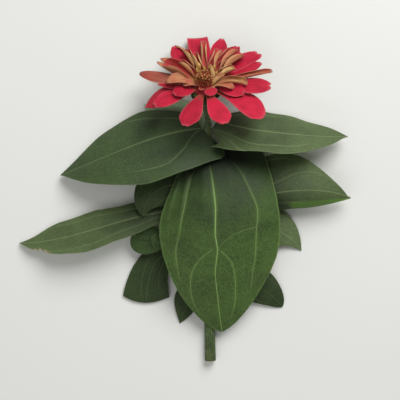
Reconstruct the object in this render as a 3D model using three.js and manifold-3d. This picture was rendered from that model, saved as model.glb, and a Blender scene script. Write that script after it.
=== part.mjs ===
// A zinnia as picked: one bloom on its cut stem with its leaves, lying on a flat surface.
// Millimetres, +Z up. The surface is Z = 0, the stem runs along Y and the bloom is at its +Y end.
import * as THREE from "three";
import { mergeVertices } from "three/addons/utils/BufferGeometryUtils.js";
import Module from "manifold-3d";

const wasm = await Module();
wasm.setup();

const { PI, abs, cos, exp, hypot, atan2, max, min, pow, sign, sin } = Math;
const radians = THREE.MathUtils.degToRad;
const { smoothstep, lerp } = THREE.MathUtils;
const at = (x, y, z) => new THREE.Vector3(x, y, z);

// Driving dimensions.
const FRAME_SHIFT = at(12.3, -0.9, 0); // from the stem's own line to the middle of the whole flower
const BLOOM_CENTRE = at(-1, 60.2, 22.6); // where the bloom's axis meets the plane its petals spread from
const BLOOM_TILT = 45; // degrees that the bloom's axis rises above the surface
const PETAL_THICKNESS = 0.8;
const LEAF_THICKNESS = 0.9;
const MIDRIB_DEPTH = 0.9; // how far the midrib stands out of a leaf's underside at its root
const BRACT_THICKNESS = 0.9;
const SETTLE = 0.25; // a leaf's points that would lie lower than this rest on the surface

// The stem's middle line from the cut end to the neck, its radius there, and how far a joint swells there.
const STEM = [
  { at: at(2, -89, 3), radius: 3.0, swell: 0 },
  { at: at(1.4, -66, 3.2), radius: 2.8, swell: 0 },
  { at: at(1, -44, 3.8), radius: 2.8, swell: 0.7 },
  { at: at(0.8, -25, 4.6), radius: 2.7, swell: 0.7 },
  { at: at(0.6, -5, 5.6), radius: 2.6, swell: 0.8 },
  { at: at(0.2, 9, 6.2), radius: 2.5, swell: 0.2 },
  { at: at(0, 24, 7.1), radius: 2.5, swell: 0.7 },
  { at: at(0.4, 39.5, 9.4), radius: 2, swell: 0.5 },
  { at: at(0, 47.5, 12.2), radius: 1.5, swell: 0 },
];
const STEM_SIDES = 10;
const STEM_STEPS = 36;

// The bloom's parts along its own axis, from BLOOM_CENTRE. Each core is a small turned body that its own
// petals, bracts or florets are rooted in.
const NECK = { end: -8.6, radius: 3.2 };
const CUP = [[3.8, -8.2], [5.1, -6.4], [6.8, -3.8], [7.4, -1.6]];
const OUTER_CORE = [[5.4, -1.2], [6.5, -0.4], [6.3, 0.7], [5, 1.5]];
const INNER_CORE = [[3.9, 1.9], [4.6, 2.4], [4.5, 3.3], [3.7, 4.2]];
const DISC_CORE = [[2.8, 4.6], [3.1, 5], [2.8, 5.8], [1.8, 6.4], [0.9, 6.6]];
const OUTER_ROOT = { out: 5.4, up: 0.2 };
const SECOND_ROOT = { out: 4.8, up: 1 };
const INNER_ROOT = { out: 3.9, up: 2.9 };

// Closed bodies from rows of points.

function meshOf(points, index) {
  const geometry = new THREE.BufferGeometry().setFromPoints(points);
  geometry.setIndex(index);
  return geometry;
}

const evenly = (count, from = 0, to = 1) =>
  Array.from({ length: count + 1 }, (_, i) => from + ((to - from) * i) / count);

// A thin blade. middle(t, s) is a point of its middle surface, t from root to tip and s from -1 to 1 across.
// above and below are the distances from there to its two faces. Its upper face looks along dt x ds.
function blade(middle, steps, across, above, below) {
  const small = 1e-3;
  const rows = steps.length;
  const columns = across.length;
  const upper = [];
  const lower = [];
  for (const t of steps) {
    for (const s of across) {
      const along = middle(min(1, t + small), s).sub(middle(max(0, t - small), s));
      const sideways = middle(t, min(1, s + small)).sub(middle(t, max(-1, s - small)));
      const normal = along.cross(sideways).normalize();
      const point = middle(t, s);
      upper.push(point.clone().addScaledVector(normal, above(t, s)));
      lower.push(point.clone().addScaledVector(normal, -below(t, s)));
    }
  }
  const top = (i, j) => i * columns + j;
  const under = (i, j) => rows * columns + i * columns + j;
  const index = [];
  const quad = (a, b, c, d) => index.push(a, b, c, a, c, d);
  const [lastRow, lastColumn] = [rows - 1, columns - 1];
  for (let i = 0; i < lastRow; i++) {
    for (let j = 0; j < lastColumn; j++) {
      quad(top(i, j), top(i + 1, j), top(i + 1, j + 1), top(i, j + 1));
      index.push(under(i, j), under(i + 1, j + 1), under(i + 1, j));
      index.push(under(i, j), under(i, j + 1), under(i + 1, j + 1));
    }
    quad(under(i, 0), under(i + 1, 0), top(i + 1, 0), top(i, 0));
    quad(top(i, lastColumn), top(i + 1, lastColumn), under(i + 1, lastColumn), under(i, lastColumn));
  }
  for (let j = 0; j < lastColumn; j++) {
    quad(top(0, j), top(0, j + 1), under(0, j + 1), under(0, j));
    quad(under(lastRow, j), under(lastRow, j + 1), top(lastRow, j + 1), top(lastRow, j));
  }
  return meshOf([...upper, ...lower], index);
}

// A body through closed rings of points, with a middle point at each end. Each ring turns anticlockwise
// seen from the last one.
function ringBody(first, rings, last) {
  const sides = rings[0].length;
  const index = [];
  rings.slice(1).forEach((_, i) => {
    for (let j = 0; j < sides; j++) {
      const [a, b] = [i * sides + j, i * sides + ((j + 1) % sides)];
      index.push(a, b, b + sides, a, b + sides, a + sides);
    }
  });
  const start = rings.length * sides;
  const end = start - sides;
  for (let j = 0; j < sides; j++) {
    const k = (j + 1) % sides;
    index.push(start, k, j, start + 1, end + j, end + k);
  }
  return meshOf([...rings.flat(), first, last], index);
}

// A turned body round Z with the given [radius, height] points as its side.
function turned(side, segments = 16) {
  const profile = [[0, side[0][1]], ...side, [0, side[side.length - 1][1]]];
  const geometry = new THREE.LatheGeometry(profile.map(([r, z]) => new THREE.Vector2(r, z)), segments);
  return geometry.rotateX(PI / 2);
}

// Fuses overlapping closed bodies into one, and keeps its outer surface only.
function fuse(geometries) {
  const solids = geometries.map((geometry) => {
    const bare = new THREE.BufferGeometry();
    bare.setAttribute("position", geometry.getAttribute("position"));
    bare.setIndex(geometry.getIndex());
    const merged = mergeVertices(bare, 1e-4);
    const vertProperties = new Float32Array(merged.getAttribute("position").array);
    const triVerts = new Uint32Array(merged.getIndex().array);
    return new wasm.Manifold(new wasm.Mesh({ numProp: 3, vertProperties, triVerts }));
  });
  const parts = wasm.Manifold.union(solids).simplify(0.03).decompose();
  parts.sort((a, b) => b.volume() - a.volume());
  const { vertProperties, triVerts } = parts[0].getMesh();
  const geometry = new THREE.BufferGeometry();
  geometry.setAttribute("position", new THREE.BufferAttribute(new Float32Array(vertProperties), 3));
  geometry.setIndex([...triVerts]);
  return geometry;
}

// Sideways and upward travel of a section at distance a from its middle line, where it leaves at the angle
// fold and turns by curve radians for each millimetre.
function arc(a, fold, curve) {
  if (abs(curve) < 1e-6) return [a * cos(fold), a * sin(fold)];
  const end = fold + curve * a;
  return [(sin(end) - sin(fold)) / curve, (cos(fold) - cos(end)) / curve];
}

// The stem.

const bloomAxis = at(0, cos(radians(BLOOM_TILT)), sin(radians(BLOOM_TILT)));

function stemGeometry() {
  const base = BLOOM_CENTRE.clone().addScaledVector(bloomAxis, NECK.end);
  const bend = base.clone().addScaledVector(bloomAxis, -3.2);
  const line = [...STEM, { at: bend, radius: 1.7, swell: 0 }, { at: base, radius: NECK.radius, swell: 0 }];
  const curve = new THREE.CatmullRomCurve3(line.map((point) => point.at));
  const rings = evenly(STEM_STEPS).map((t) => {
    const place = min(t * (line.length - 1), line.length - 1.0001);
    const i = Math.floor(place);
    const middle = curve.getPoint(t);
    let radius = lerp(line[i].radius, line[i + 1].radius, smoothstep(place - i, 0, 1));
    for (const joint of line) radius += joint.swell * exp(-pow(middle.distanceTo(joint.at) / 2.6, 2));
    const along = curve.getTangent(t);
    const side = at(1, 0, 0).addScaledVector(along, -along.x).normalize();
    const up = along.clone().cross(side);
    return evenly(STEM_SIDES - 1, 0, 2 * PI * (1 - 1 / STEM_SIDES)).map((turn) =>
      middle.clone().addScaledVector(side, radius * cos(turn)).addScaledVector(up, radius * sin(turn)));
  });
  return ringBody(line[0].at, rings, base);
}

// Leaves.

// A cubic curve through four points that lie a third of the way apart.
function throughPoints([a, b, c, d]) {
  const mix = (...shares) =>
    [a, b, c, d].reduce((sum, p, i) => sum.addScaledVector(p, shares[i]), at(0, 0, 0));
  return new THREE.CubicBezierCurve3(a, mix(-5 / 6, 3, -1.5, 1 / 3), mix(1 / 3, -1.5, 3, -5 / 6), d);
}

// The share of its full width that half a leaf has at t: base at the root, 1 at the peak, and a pointed tip.
// A peak beyond 1 leaves the tip broad.
function leafWidth(t, base, peak, point) {
  if (t < peak) return base + (1 - base) * sin((PI / 2) * (t / peak));
  return pow(cos((PI / 2) * min((t - peak) / (1 - peak), 1)), point);
}

// One half of a leaf: its full width, the share of it at the root, the angle it folds up from the midrib,
// how far it curls on by its margin, how far its base reaches back past the root, and how far along it is
// widest where that isn't at the leaf's own peak.
const half = (width, base, fold = 0, curl = 0, lobe = 0, peak = 0) =>
  ({ width, base, fold, curl, lobe, peak });

// The middle surface of a leaf. faceRoot and faceTip are the ways its upper face looks at its two ends.
// blunt is how far the corners of a broad tip stay behind its middle.
function leafSurface(leaf) {
  const { left, right, peak = 0.42, point = 0.9, blunt = 0, wave = 0, waves = 3, phase = 0 } = leaf;
  const midrib = throughPoints(leaf.midrib);
  const length = midrib.getLength();
  return (t, s) => {
    const side = s > 0 ? left : right;
    const lobe = (side.lobe / length) * sin(2.5 * s * s) * pow(1 - t, 5);
    const u = t - lobe - (blunt / length) * s * s * pow(t, 6);
    const along = midrib.getTangent(max(u, 0));
    const place = midrib.getPoint(max(u, 0)).addScaledVector(along, min(u, 0) * length);
    const face = leaf.faceRoot.clone().lerp(leaf.faceTip, t);
    face.addScaledVector(along, -face.dot(along)).normalize();
    const outward = face.clone().cross(along);
    const a = max(side.width * leafWidth(t, side.base, side.peak || peak, point), 0.5) * abs(s);
    const [out, lift] = arc(a, radians(side.fold), radians(side.curl) / side.width);
    const ripple = wave * s * s * sin(2 * PI * waves * t + phase + (s > 0 ? 1.4 : 0)) * min(1, 3 * t);
    return place.addScaledVector(outward, sign(s) * out).addScaledVector(face, lift + ripple);
  };
}

const LARGE = { rows: 13, across: [-1, -0.7, -0.35, -0.06, 0.06, 0.35, 0.7, 1] };
const SMALL = { rows: 9, across: [-1, -0.55, -0.1, 0.1, 0.55, 1] };

function leafGeometry(leaf) {
  const { rows, across } = leaf.size;
  const skin = LEAF_THICKNESS / 2;
  const rib = (t, s) => skin + (leaf.rib ?? MIDRIB_DEPTH) * (1 - 0.75 * t) * (abs(s) < 0.2 ? 1 : 0);
  const geometry = blade(leafSurface(leaf), evenly(rows), across, () => skin, rib);
  const place = geometry.getAttribute("position");
  for (let i = 0; i < place.count; i++) {
    if (place.getZ(i) < SETTLE) place.setZ(i, 0);
  }
  return geometry;
}

// left and right are those of someone at the root who looks along the leaf with its upper face up.
const LEAVES = {
  leaf_upper_left: {
    size: LARGE,
    midrib: [at(-3.1, 39.3, 9.6), at(-25.4, 34.6, 17), at(-51.6, 25.2, 15.5), at(-81, 14, 3.4)],
    faceRoot: at(0, 0.66, 0.75),
    faceTip: at(0.1, 0.6, 0.8),
    left: half(25.5, 0.84, 0, -22, 7.6),
    right: half(20.8, 0.45, 10, -20),
    wave: 0.5,
  },
  leaf_upper_right: {
    size: LARGE,
    midrib: [at(3.2, 39.5, 9.8), at(28.2, 37.6, 17), at(53.4, 35.2, 14.5), at(77.4, 35.2, 7)],
    faceRoot: at(0, 0.76, 0.65),
    faceTip: at(0, 0.76, 0.65),
    left: half(20, 0.6, 8, -16),
    right: half(17, 0.88, 0, -16, -7),
    wave: 0.5,
    phase: 2,
  },
  leaf_front: {
    size: LARGE,
    midrib: [at(0.2, 25.6, 11.4), at(4.2, -7, 27), at(5.4, -39.5, 22), at(8.4, -72.6, 5.8)],
    faceRoot: at(0, 0, 1),
    faceTip: at(0, -0.2, 1),
    left: half(36.6, 0.85, -3, -24, 5),
    right: half(32, 0.45, -3, -27),
    peak: 0.44,
    point: 0.68,
    wave: 0.4,
    phase: 1,
  },
  leaf_back: {
    size: SMALL,
    midrib: [at(-0.6, 24, 3.6), at(-11, 36, 1), at(-22, 45.5, 0.5), at(-35, 53, 0.55)],
    faceRoot: at(0, 0, 1),
    faceTip: at(0, 0, 1),
    left: half(12, 0.25),
    right: half(16, 0.25),
    rib: 0,
  },
  leaf_middle_left: {
    size: LARGE,
    midrib: [at(-2.75, -5, 6), at(-37, -9.2, 9.4), at(-70.5, -18.6, 8.8), at(-104, -24, 1.5)],
    faceRoot: at(0, 0.6, 0.8),
    faceTip: at(0, 0.6, 0.8),
    left: half(12.5, 0.1, 4, -10),
    right: half(11, 0.3, 12, -8),
    peak: 0.64,
    wave: 0.6,
    waves: 4,
  },
  leaf_middle_right: {
    size: LARGE,
    midrib: [at(4.6, -4.6, 6.2), at(28, 2, 13), at(54, 5.4, 16.5), at(79.4, 1.1, 7.4)],
    faceRoot: at(0, 0.2, 0.98),
    faceTip: at(0, 0.2, 0.98),
    left: half(23, 0.3, -2, -18),
    right: half(12.8, 0.4, -18, -60, 0, 0.62),
    peak: 0.5,
    wave: 0.5,
    phase: 3,
  },
  leaf_small_left: {
    size: SMALL,
    midrib: [at(-2.9, 8.4, 7.2), at(-20, 8, 12), at(-31, 1.5, 13.4), at(-34.6, -9, 12)],
    faceRoot: at(0, 0, 1),
    faceTip: at(0, 0, 1),
    left: half(9, 0.2, -4, -12),
    right: half(13, 0.2, -4, -16),
  },
  leaf_lower_left: {
    size: SMALL,
    midrib: [at(-3.0, -25.3, 4.8), at(-21.5, -28.5, 3.4), at(-31, -40, 3.4), at(-33.5, -57.2, 1.6)],
    faceRoot: at(0, 0.1, 1),
    faceTip: at(0, 0.1, 1),
    left: half(15, 0.12, -1, -5),
    right: half(15.5, 0.14, -1, -5),
    peak: 1.6,
    blunt: 3.2,
  },
  leaf_lower_right: {
    size: SMALL,
    midrib: [at(4.8, -26, 4.8), at(19, -20, 6.2), at(36, -16.5, 5.4), at(52.5, -28, 0.8)],
    faceRoot: at(0, 0.1, 1),
    faceTip: at(0, 0.1, 1),
    left: half(17.5, 0.12, -4, -8),
    right: half(15.5, 0.12, -4, -14),
  },
  leaf_base_left: {
    size: SMALL,
    midrib: [at(-3, -45.4, 3.9), at(-9, -52.5, 4.4), at(-12, -60, 3.4), at(-15, -68.5, 0.8)],
    faceRoot: at(0, 0, 1),
    faceTip: at(0, 0, 1),
    left: half(6.6, 0.12, -2, -14),
    right: half(8, 0.12, -2, -14),
  },
  leaf_base_right: {
    size: SMALL,
    midrib: [at(4.95, -44, 4), at(16, -43.5, 5.2), at(29.5, -48.5, 4.2), at(42, -59.5, 0.8)],
    faceRoot: at(0, 0, 1),
    faceTip: at(0, 0, 1),
    left: half(12, 0.15, -2, -16),
    right: half(11, 0.15, -2, -14),
    point: 0.6,
  },
};

// The shoot in a leaf joint: a short stalk with small young leaves, all one body.
const SHOOT = {
  stalk: [at(-2.4, -12.6, 5.2), at(-14, -15.5, 7.5), at(-26, -17.5, 8.6)],
  radius: 1.2,
  leaves: [
    { tip: at(-41.5, -26.4, 6), rise: 1, width: 8.2, point: 0.5 },
    { tip: at(-42, -18, 8.2), rise: 1, width: 4 },
    { tip: at(-28, -28.5, 8.6), rise: 1.6, width: 3.6 },
    { tip: at(-27, -24, 10.6), rise: 1, width: 2.2 },
  ],
};

function shootGeometry() {
  const curve = new THREE.CatmullRomCurve3(SHOOT.stalk);
  const end = SHOOT.stalk[SHOOT.stalk.length - 1];
  const rings = evenly(6).map((t) => {
    const along = curve.getTangent(t);
    const side = along.clone().cross(at(0, 0, 1)).normalize();
    const up = side.clone().cross(along);
    return evenly(5, 0, (5 / 3) * PI).map((turn) => curve.getPoint(t)
      .addScaledVector(up, SHOOT.radius * cos(turn)).addScaledVector(side, SHOOT.radius * sin(turn)));
  });
  const leaves = SHOOT.leaves.map(({ tip, rise, width, point }, i) => leafGeometry({
    size: { rows: 6, across: [-1, -0.5, 0, 0.5, 1] },
    midrib: [
      end.clone().lerp(tip, 0.02 * (i + 1)),
      end.clone().lerp(tip, 1 / 3).add(at(0, 0, rise)),
      end.clone().lerp(tip, 2 / 3).add(at(0, 0, rise)),
      tip,
    ],
    faceRoot: at(0, 0, 1),
    faceTip: at(0, 0, 1),
    left: half(width, 0.4, 6, -8),
    right: half(width, 0.4, 6, -8),
    point,
    rib: 0,
  }));
  return fuse([ringBody(curve.getPoint(0), rings, curve.getPoint(1)), ...leaves]);
}

// The bloom, built round Z and then tilted as a whole.

// The middle surface of a petal. Its tip lies out from the axis and up along it, at an angle round it from
// +X. arch is how much steeper it starts than it ends, cup the arc of its section, both in degrees. A cup
// near a full turn is a rolled petal. sway bends it sideways and roll turns it about its own line.
function petalSurface(petal, root) {
  const { angle, out, up, width, arch = 24, cup = 12, sway = 0, roll = 0 } = petal;
  const { claw = 0.22, peak = 0.68, tip = 0.5, round = 0.1, notch = 0.04 } = petal;
  const radial = at(cos(radians(angle)), sin(radians(angle)), 0);
  const sideways = at(-radial.y, radial.x, 0);
  const bend = radians(arch);
  const middle = atan2(up - root.up, out - root.out);
  const chord = hypot(up - root.up, out - root.out);
  const length = (chord * (bend / 2)) / sin(bend / 2);
  return (t, s) => {
    const reach = t * (1 - round * pow(abs(s), 2.6) - notch * exp(-pow(s / 0.24, 2)));
    const slope = middle + bend / 2 - bend * reach;
    const radialTravel = (length * (sin(middle + bend / 2) - sin(slope))) / bend;
    const axialTravel = (length * (cos(slope) - cos(middle + bend / 2))) / bend;
    const point = radial.clone().multiplyScalar(root.out + radialTravel);
    point.z = root.up + axialTravel;
    point.addScaledVector(sideways, sway * reach * reach);
    const turn = radians(roll) * reach;
    const face = radial.clone().multiplyScalar(-sin(slope));
    face.z = cos(slope);
    const across = sideways.clone().multiplyScalar(cos(turn)).addScaledVector(face, sin(turn));
    const upward = face.multiplyScalar(cos(turn)).addScaledVector(sideways, -sin(turn));
    const full = t < peak
      ? claw + (1 - claw) * pow(sin((PI / 2) * (t / peak)), 2)
      : pow(1 - (1 - tip * tip) * pow((t - peak) / (1 - peak), 2.5), 0.5);
    const curve = (radians(cup) / (2 * width)) * smoothstep(t, 0, 0.4);
    const [aside, lift] = arc(width * full * abs(s), 0, curve);
    return point.addScaledVector(across, sign(s) * aside).addScaledVector(upward, lift);
  };
}

function petalGeometry(petal, root) {
  const skin = PETAL_THICKNESS / 2;
  const rolled = (petal.cup ?? 0) > 90;
  const across = rolled ? [-1, -0.6, -0.2, 0.2, 0.6, 1] : [-1, -0.5, 0, 0.5, 1];
  const steps = rolled ? [0, 0.22, 0.44, 0.66, 0.86, 1] : [0, 0.2, 0.4, 0.6, 0.78, 0.91, 1];
  return blade(petalSurface(petal, root), steps, across, () => skin, () => skin);
}

// The broad open petals, anticlockwise from +X.
const OUTER_PETALS = [
  { angle: 13.9, out: 37.9, up: 4.6, width: 3, cup: 250, arch: 14, roll: 30, tip: 0.4 },
  { angle: 27, out: 33.4, up: 5.2, width: 4.4, arch: 14, tip: 0.2, sway: -1.7 },
  { angle: 47, out: 35.6, up: 6.6, width: 4.8, cup: -16, arch: 16, tip: 0.3, sway: -6.5 },
  { angle: 57, out: 33.3, up: 7, width: 5.6, cup: 20, arch: 20, roll: -14, tip: 0.5 },
  { angle: 69, out: 35.6, up: 7.4, width: 4.8, cup: 24, arch: 20, tip: 0.4, sway: 3.4 },
  { angle: 85, out: 26, up: 4.6, width: 5.2, cup: 16, arch: 16 },
  { angle: 97, out: 35.6, up: 6.6, width: 6, cup: 20, arch: 18, tip: 0.95, round: 0, notch: 0 },
  { angle: 121, out: 34.4, up: 6, width: 6.2, cup: 18, arch: 20, tip: 0.3 },
  { angle: 146, out: 31, up: 5.4, width: 5, cup: 60, arch: 18, tip: 0.7, notch: 0.16 },
  {
    angle: 164.5, out: 36, up: 4.4, width: 4.9, cup: -50, arch: 16,
    peak: 0.6, tip: 0.6, notch: 0, sway: 2.6,
  },
  { angle: 178, out: 25.6, up: 2.4, width: 4.2, arch: 16 },
  { angle: 189, out: 33.6, up: -2.6, width: 6.8, cup: -16, arch: 34, tip: 0.2, notch: 0, sway: 8 },
  { angle: 204, out: 31, up: -0.4, width: 5.6, cup: -16, arch: 30, sway: 2 },
  {
    angle: 252.5, out: 30.4, up: -2.4, width: 5.5, cup: -14, arch: 36,
    claw: 0.3, peak: 0.8, tip: 0.6, notch: 0.02, sway: -1.6,
  },
  {
    angle: 287.5, out: 28.6, up: -2.4, width: 5.7, cup: -14, arch: 36,
    claw: 0.3, peak: 0.8, tip: 0.6, notch: 0.02, sway: 2,
  },
  {
    angle: 337, out: 36.4, up: -3, width: 8.1, cup: -18, arch: 30,
    claw: 0.3, peak: 0.78, tip: 0.7, notch: 0, sway: -6,
  },
  { angle: 358, out: 35.6, up: 2.4, width: 6.6, cup: -16, arch: 24, peak: 0.74, tip: 0.7 },
];

// The broad petals of the second row, which stand over those.
const SECOND_PETALS = [
  { angle: 209, out: 19.6, up: 3.8, width: 4.9, arch: 36, sway: 0.6 },
  { angle: 340, out: 22.6, up: 2.8, width: 4.6, arch: 36, roll: 20 },
];

// The narrower petals that are still rolled or folded.
const INNER_PETALS = [
  { angle: 354, out: 23, up: 5, width: 2.9, cup: 200, arch: 44, roll: 16 },
  { angle: 335, out: 9, up: 8, width: 2.6, cup: 220, arch: 40, sway: 5.2 },
  { angle: 338, out: 16.6, up: 5, width: 3.2, cup: 110, arch: 44 },
  { angle: 25, out: 18, up: 7.4, width: 3, cup: 200, arch: 34 },
  { angle: 41.6, out: 27.8, up: 8, width: 4, cup: 200, arch: 34 },
  { angle: 51, out: 27.4, up: 9.4, width: 3.8, cup: 200, arch: 34, roll: -16 },
  { angle: 69, out: 22, up: 10.4, width: 3.4, cup: 220, arch: 30 },
  { angle: 92, out: 29.6, up: 9.6, width: 2.4, cup: 200, arch: 24 },
  { angle: 112, out: 17.6, up: 11.4, width: 3, cup: 210, arch: 26 },
  { angle: 119, out: 24.4, up: 9.4, width: 3, cup: 220, arch: 34, roll: 14 },
  { angle: 143, out: 18.2, up: 9.6, width: 2.6, cup: 220, arch: 30 },
  { angle: 153, out: 25.6, up: 7.6, width: 4, cup: 160, arch: 30, roll: -20 },
  { angle: 183, out: 21, up: 5.2, width: 4.8, cup: 100, arch: 40 },
  { angle: 200, out: 12.6, up: 5.4, width: 2.8, cup: 120, arch: 40 },
  { angle: 287, out: 10.6, up: 2.4, width: 3.9, arch: 90, claw: 0.6, peak: 0.6 },
  { angle: 250, out: 6.8, up: 3.6, width: 1.8, cup: 60, arch: 40, claw: 0.5 },
  { angle: 310, out: 7, up: 3.8, width: 1.8, cup: 60, arch: 40, claw: 0.5 },
  { angle: 10, out: 3.2, up: 12.8, width: 1.8, cup: 170, arch: -80, sway: 4.4 },
];

// Rounded bracts in rows up the green cup: how many, the length and half width of each, where on the cup
// they are rooted and how far they lean out from it. No two in a row are quite alike.
const BRACT_ROWS = [
  { count: 6, length: 5, width: 2.8, height: -7.6, out: 3.6, lean: 40, turn: 9 },
  { count: 7, length: 5.2, width: 3.3, height: -5.9, out: 4.9, lean: 48, turn: 24 },
  { count: 8, length: 4.4, width: 3.3, height: -4.6, out: 5.9, lean: 50, turn: 8 },
];

function involucreGeometry() {
  const skin = BRACT_THICKNESS / 2;
  const anglesOf = (row) => evenly(row.count - 1, row.turn, row.turn + 360 - 360 / row.count);
  const bracts = BRACT_ROWS.flatMap((row) => anglesOf(row).map((angle, i) => {
    const uneven = sin(5 * i + row.turn);
    const root = { out: row.out - 0.2 * uneven, up: row.height + 0.2 * cos(7 * i) };
    const length = row.length * (1 + 0.06 * uneven);
    const lean = radians(row.lean + 3 * uneven);
    const bract = {
      angle: angle + 3 * cos(7 * i),
      out: root.out + length * cos(lean),
      up: root.up + length * sin(lean),
      width: row.width * (1 - 0.05 * uneven),
      arch: -12,
      cup: 50,
      claw: 0.8,
      peak: 0.4,
      round: 0.2,
      notch: 0,
    };
    const surface = petalSurface(bract, root);
    return blade(surface, [0.05, 0.6, 1], [-1, 0, 1], () => skin, () => skin);
  }));
  return fuse([turned(CUP, 12), ...bracts]);
}

// The disc: a low dome, pointed chaff scales all over it, and a few small open five-lobed florets.
const CHAFF = { count: 34, length: 3.8, radius: 0.55, spread: 32, out: 2.5, top: 6.5, fall: 1.2 };
const FLORET = { height: 4.2, tube: 0.6, lobes: 1.5, bottom: 5.4 };
const FLORETS = [
  { angle: 132, out: 1.7, lean: 24 },
  { angle: 92, out: 1.6, lean: 22 },
  { angle: 196, out: 1.8, lean: 22 },
  { angle: 262, out: 1.4, lean: 16 },
  { angle: 312, out: 1.9, lean: 22 },
];
const GOLDEN_ANGLE = 137.508;

// Puts a geometry that grows up Z on the disc, out from the axis and leaning outwards.
function onDisc(geometry, angle, out, lean, height) {
  return geometry.rotateY(radians(lean)).translate(out, 0, height).rotateZ(radians(angle));
}

function floretGeometry() {
  const { height, tube, lobes } = FLORET;
  const ring = (radius, lobed, z) => evenly(9, 0, 1.8 * PI).map((turn) => {
    const r = radius * (1 + lobed * cos(5 * turn));
    return at(r * cos(turn), r * sin(turn), z);
  });
  const mouth = height - 0.3;
  const star = [ring(lobes, 0.4, mouth), ring(lobes, 0.4, mouth + 0.6)];
  return ringBody(at(0, 0, 0), [ring(tube, 0, 0), ring(tube, 0, height - 1), ...star], at(0, 0, mouth));
}

function discGeometry() {
  const chaff = evenly(CHAFF.count - 1, 0, CHAFF.count - 1).map((i) => {
    const share = pow((i + 0.5) / CHAFF.count, 0.5);
    const spike = new THREE.ConeGeometry(CHAFF.radius, CHAFF.length, 4);
    spike.rotateX(PI / 2).translate(0, 0, CHAFF.length / 2);
    const height = CHAFF.top - CHAFF.fall * share * share;
    return onDisc(spike, i * GOLDEN_ANGLE, CHAFF.out * share, CHAFF.spread * share, height);
  });
  const florets = FLORETS.map(({ angle, out, lean }) =>
    onDisc(floretGeometry(), angle, out, lean, FLORET.bottom));
  return fuse([turned(DISC_CORE), ...chaff, ...florets]);
}

// Colours.

const finish = (red, green, blue, roughness) => new THREE.MeshStandardMaterial({
  color: new THREE.Color().setRGB(red, green, blue, THREE.SRGBColorSpace),
  roughness,
  metalness: 0,
});
const LEAF_GREEN = [0.31, 0.38, 0.22, 0.62];

function named(name, geometry, colour) {
  const mesh = new THREE.Mesh(geometry, finish(...colour));
  mesh.name = name;
  return mesh;
}

const bloom = new THREE.Group();
bloom.position.copy(BLOOM_CENTRE);
bloom.rotation.x = radians(BLOOM_TILT - 90);
bloom.add(
  named("involucre", involucreGeometry(), [0.26, 0.33, 0.17, 0.7]),
  named("outer_petals", fuse([
    turned(OUTER_CORE),
    ...OUTER_PETALS.map((petal) => petalGeometry(petal, OUTER_ROOT)),
    ...SECOND_PETALS.map((petal) => petalGeometry(petal, SECOND_ROOT)),
  ]), [0.8, 0.18, 0.27, 0.6]),
  named("inner_petals", fuse([
    turned(INNER_CORE),
    ...INNER_PETALS.map((petal) => petalGeometry(petal, INNER_ROOT)),
  ]), [0.66, 0.36, 0.28, 0.65]),
  named("disc_florets", discGeometry(), [0.48, 0.24, 0.12, 0.8]),
);

const flower = new THREE.Group();
flower.position.copy(FRAME_SHIFT);
flower.add(bloom, named("stem", stemGeometry(), [0.24, 0.28, 0.15, 0.65]));
for (const [name, leaf] of Object.entries(LEAVES)) flower.add(named(name, leafGeometry(leaf), LEAF_GREEN));
flower.add(named("side_shoot", shootGeometry(), [0.22, 0.3, 0.15, 0.65]));

export default flower;
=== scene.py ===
import bpy
import numpy as np
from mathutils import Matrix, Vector


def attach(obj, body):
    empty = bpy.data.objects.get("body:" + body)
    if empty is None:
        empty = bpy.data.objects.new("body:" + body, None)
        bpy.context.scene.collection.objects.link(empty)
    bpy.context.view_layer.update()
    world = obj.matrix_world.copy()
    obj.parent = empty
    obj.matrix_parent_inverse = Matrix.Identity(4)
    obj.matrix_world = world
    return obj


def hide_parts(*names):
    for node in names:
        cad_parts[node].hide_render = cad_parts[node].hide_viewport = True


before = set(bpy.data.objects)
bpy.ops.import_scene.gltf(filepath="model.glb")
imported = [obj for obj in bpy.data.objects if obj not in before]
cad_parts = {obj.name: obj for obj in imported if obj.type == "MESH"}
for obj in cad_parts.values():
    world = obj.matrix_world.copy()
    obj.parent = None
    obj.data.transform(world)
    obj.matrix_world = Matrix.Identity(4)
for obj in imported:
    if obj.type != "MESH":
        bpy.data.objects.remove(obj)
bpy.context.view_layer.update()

# Lengths below are millimetres in the flower's own frame, with the stem along Y, until a mesh is made.
MM = 0.001
FRAME_SHIFT = np.array([12.3, -0.9, 0.0])
BLOOM_CENTRE = np.array([-1.0, 60.2, 22.6])
BLOOM_TILT = 45
LEAF_THICKNESS = 0.5
PETAL_THICKNESS = 0.36
FLOOR_CLEARANCE = 0.02
UP = (0, 0, 1)
rng = np.random.default_rng(7)


def vec(*values):
    return np.array(values, float)


def unit(v):
    return v / np.maximum(np.linalg.norm(v, axis=-1, keepdims=True), 1e-9)


def dot(a, b):
    return np.sum(a * b, axis=-1, keepdims=True)


def smoothstep(x, low, high):
    x = np.clip((x - low) / (high - low), 0, 1)
    return x * x * (3 - 2 * x)


def bell(x, width):
    return np.exp(-((x / width) ** 2))


def turned(x, y, angle):
    """x and y turned by an angle, from x towards y."""
    return x * np.cos(angle) - y * np.sin(angle), x * np.sin(angle) + y * np.cos(angle)


def stack(*parts):
    """Puts values side by side as the last axis of one array."""
    return np.stack(np.broadcast_arrays(*parts), axis=-1)


def ripple(x, y, seed):
    """A smooth uneven field from a few sine waves, about -1 to 1."""
    draw = np.random.default_rng(seed)
    total = np.zeros(np.broadcast(x, y).shape)
    for octave in range(3):
        for _ in range(3):
            turn, phase = draw.uniform(0, 2 * np.pi, 2)
            wave = 2**octave * draw.uniform(0.7, 1.3)
            total = total + np.sin(wave * (x * np.cos(turn) + y * np.sin(turn)) + phase) / 2**octave
    return total / 4


def add_object(name, data):
    piece = bpy.data.objects.new(name, data)
    bpy.context.scene.collection.objects.link(piece)
    return piece


# Meshes from rows of points.


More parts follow.
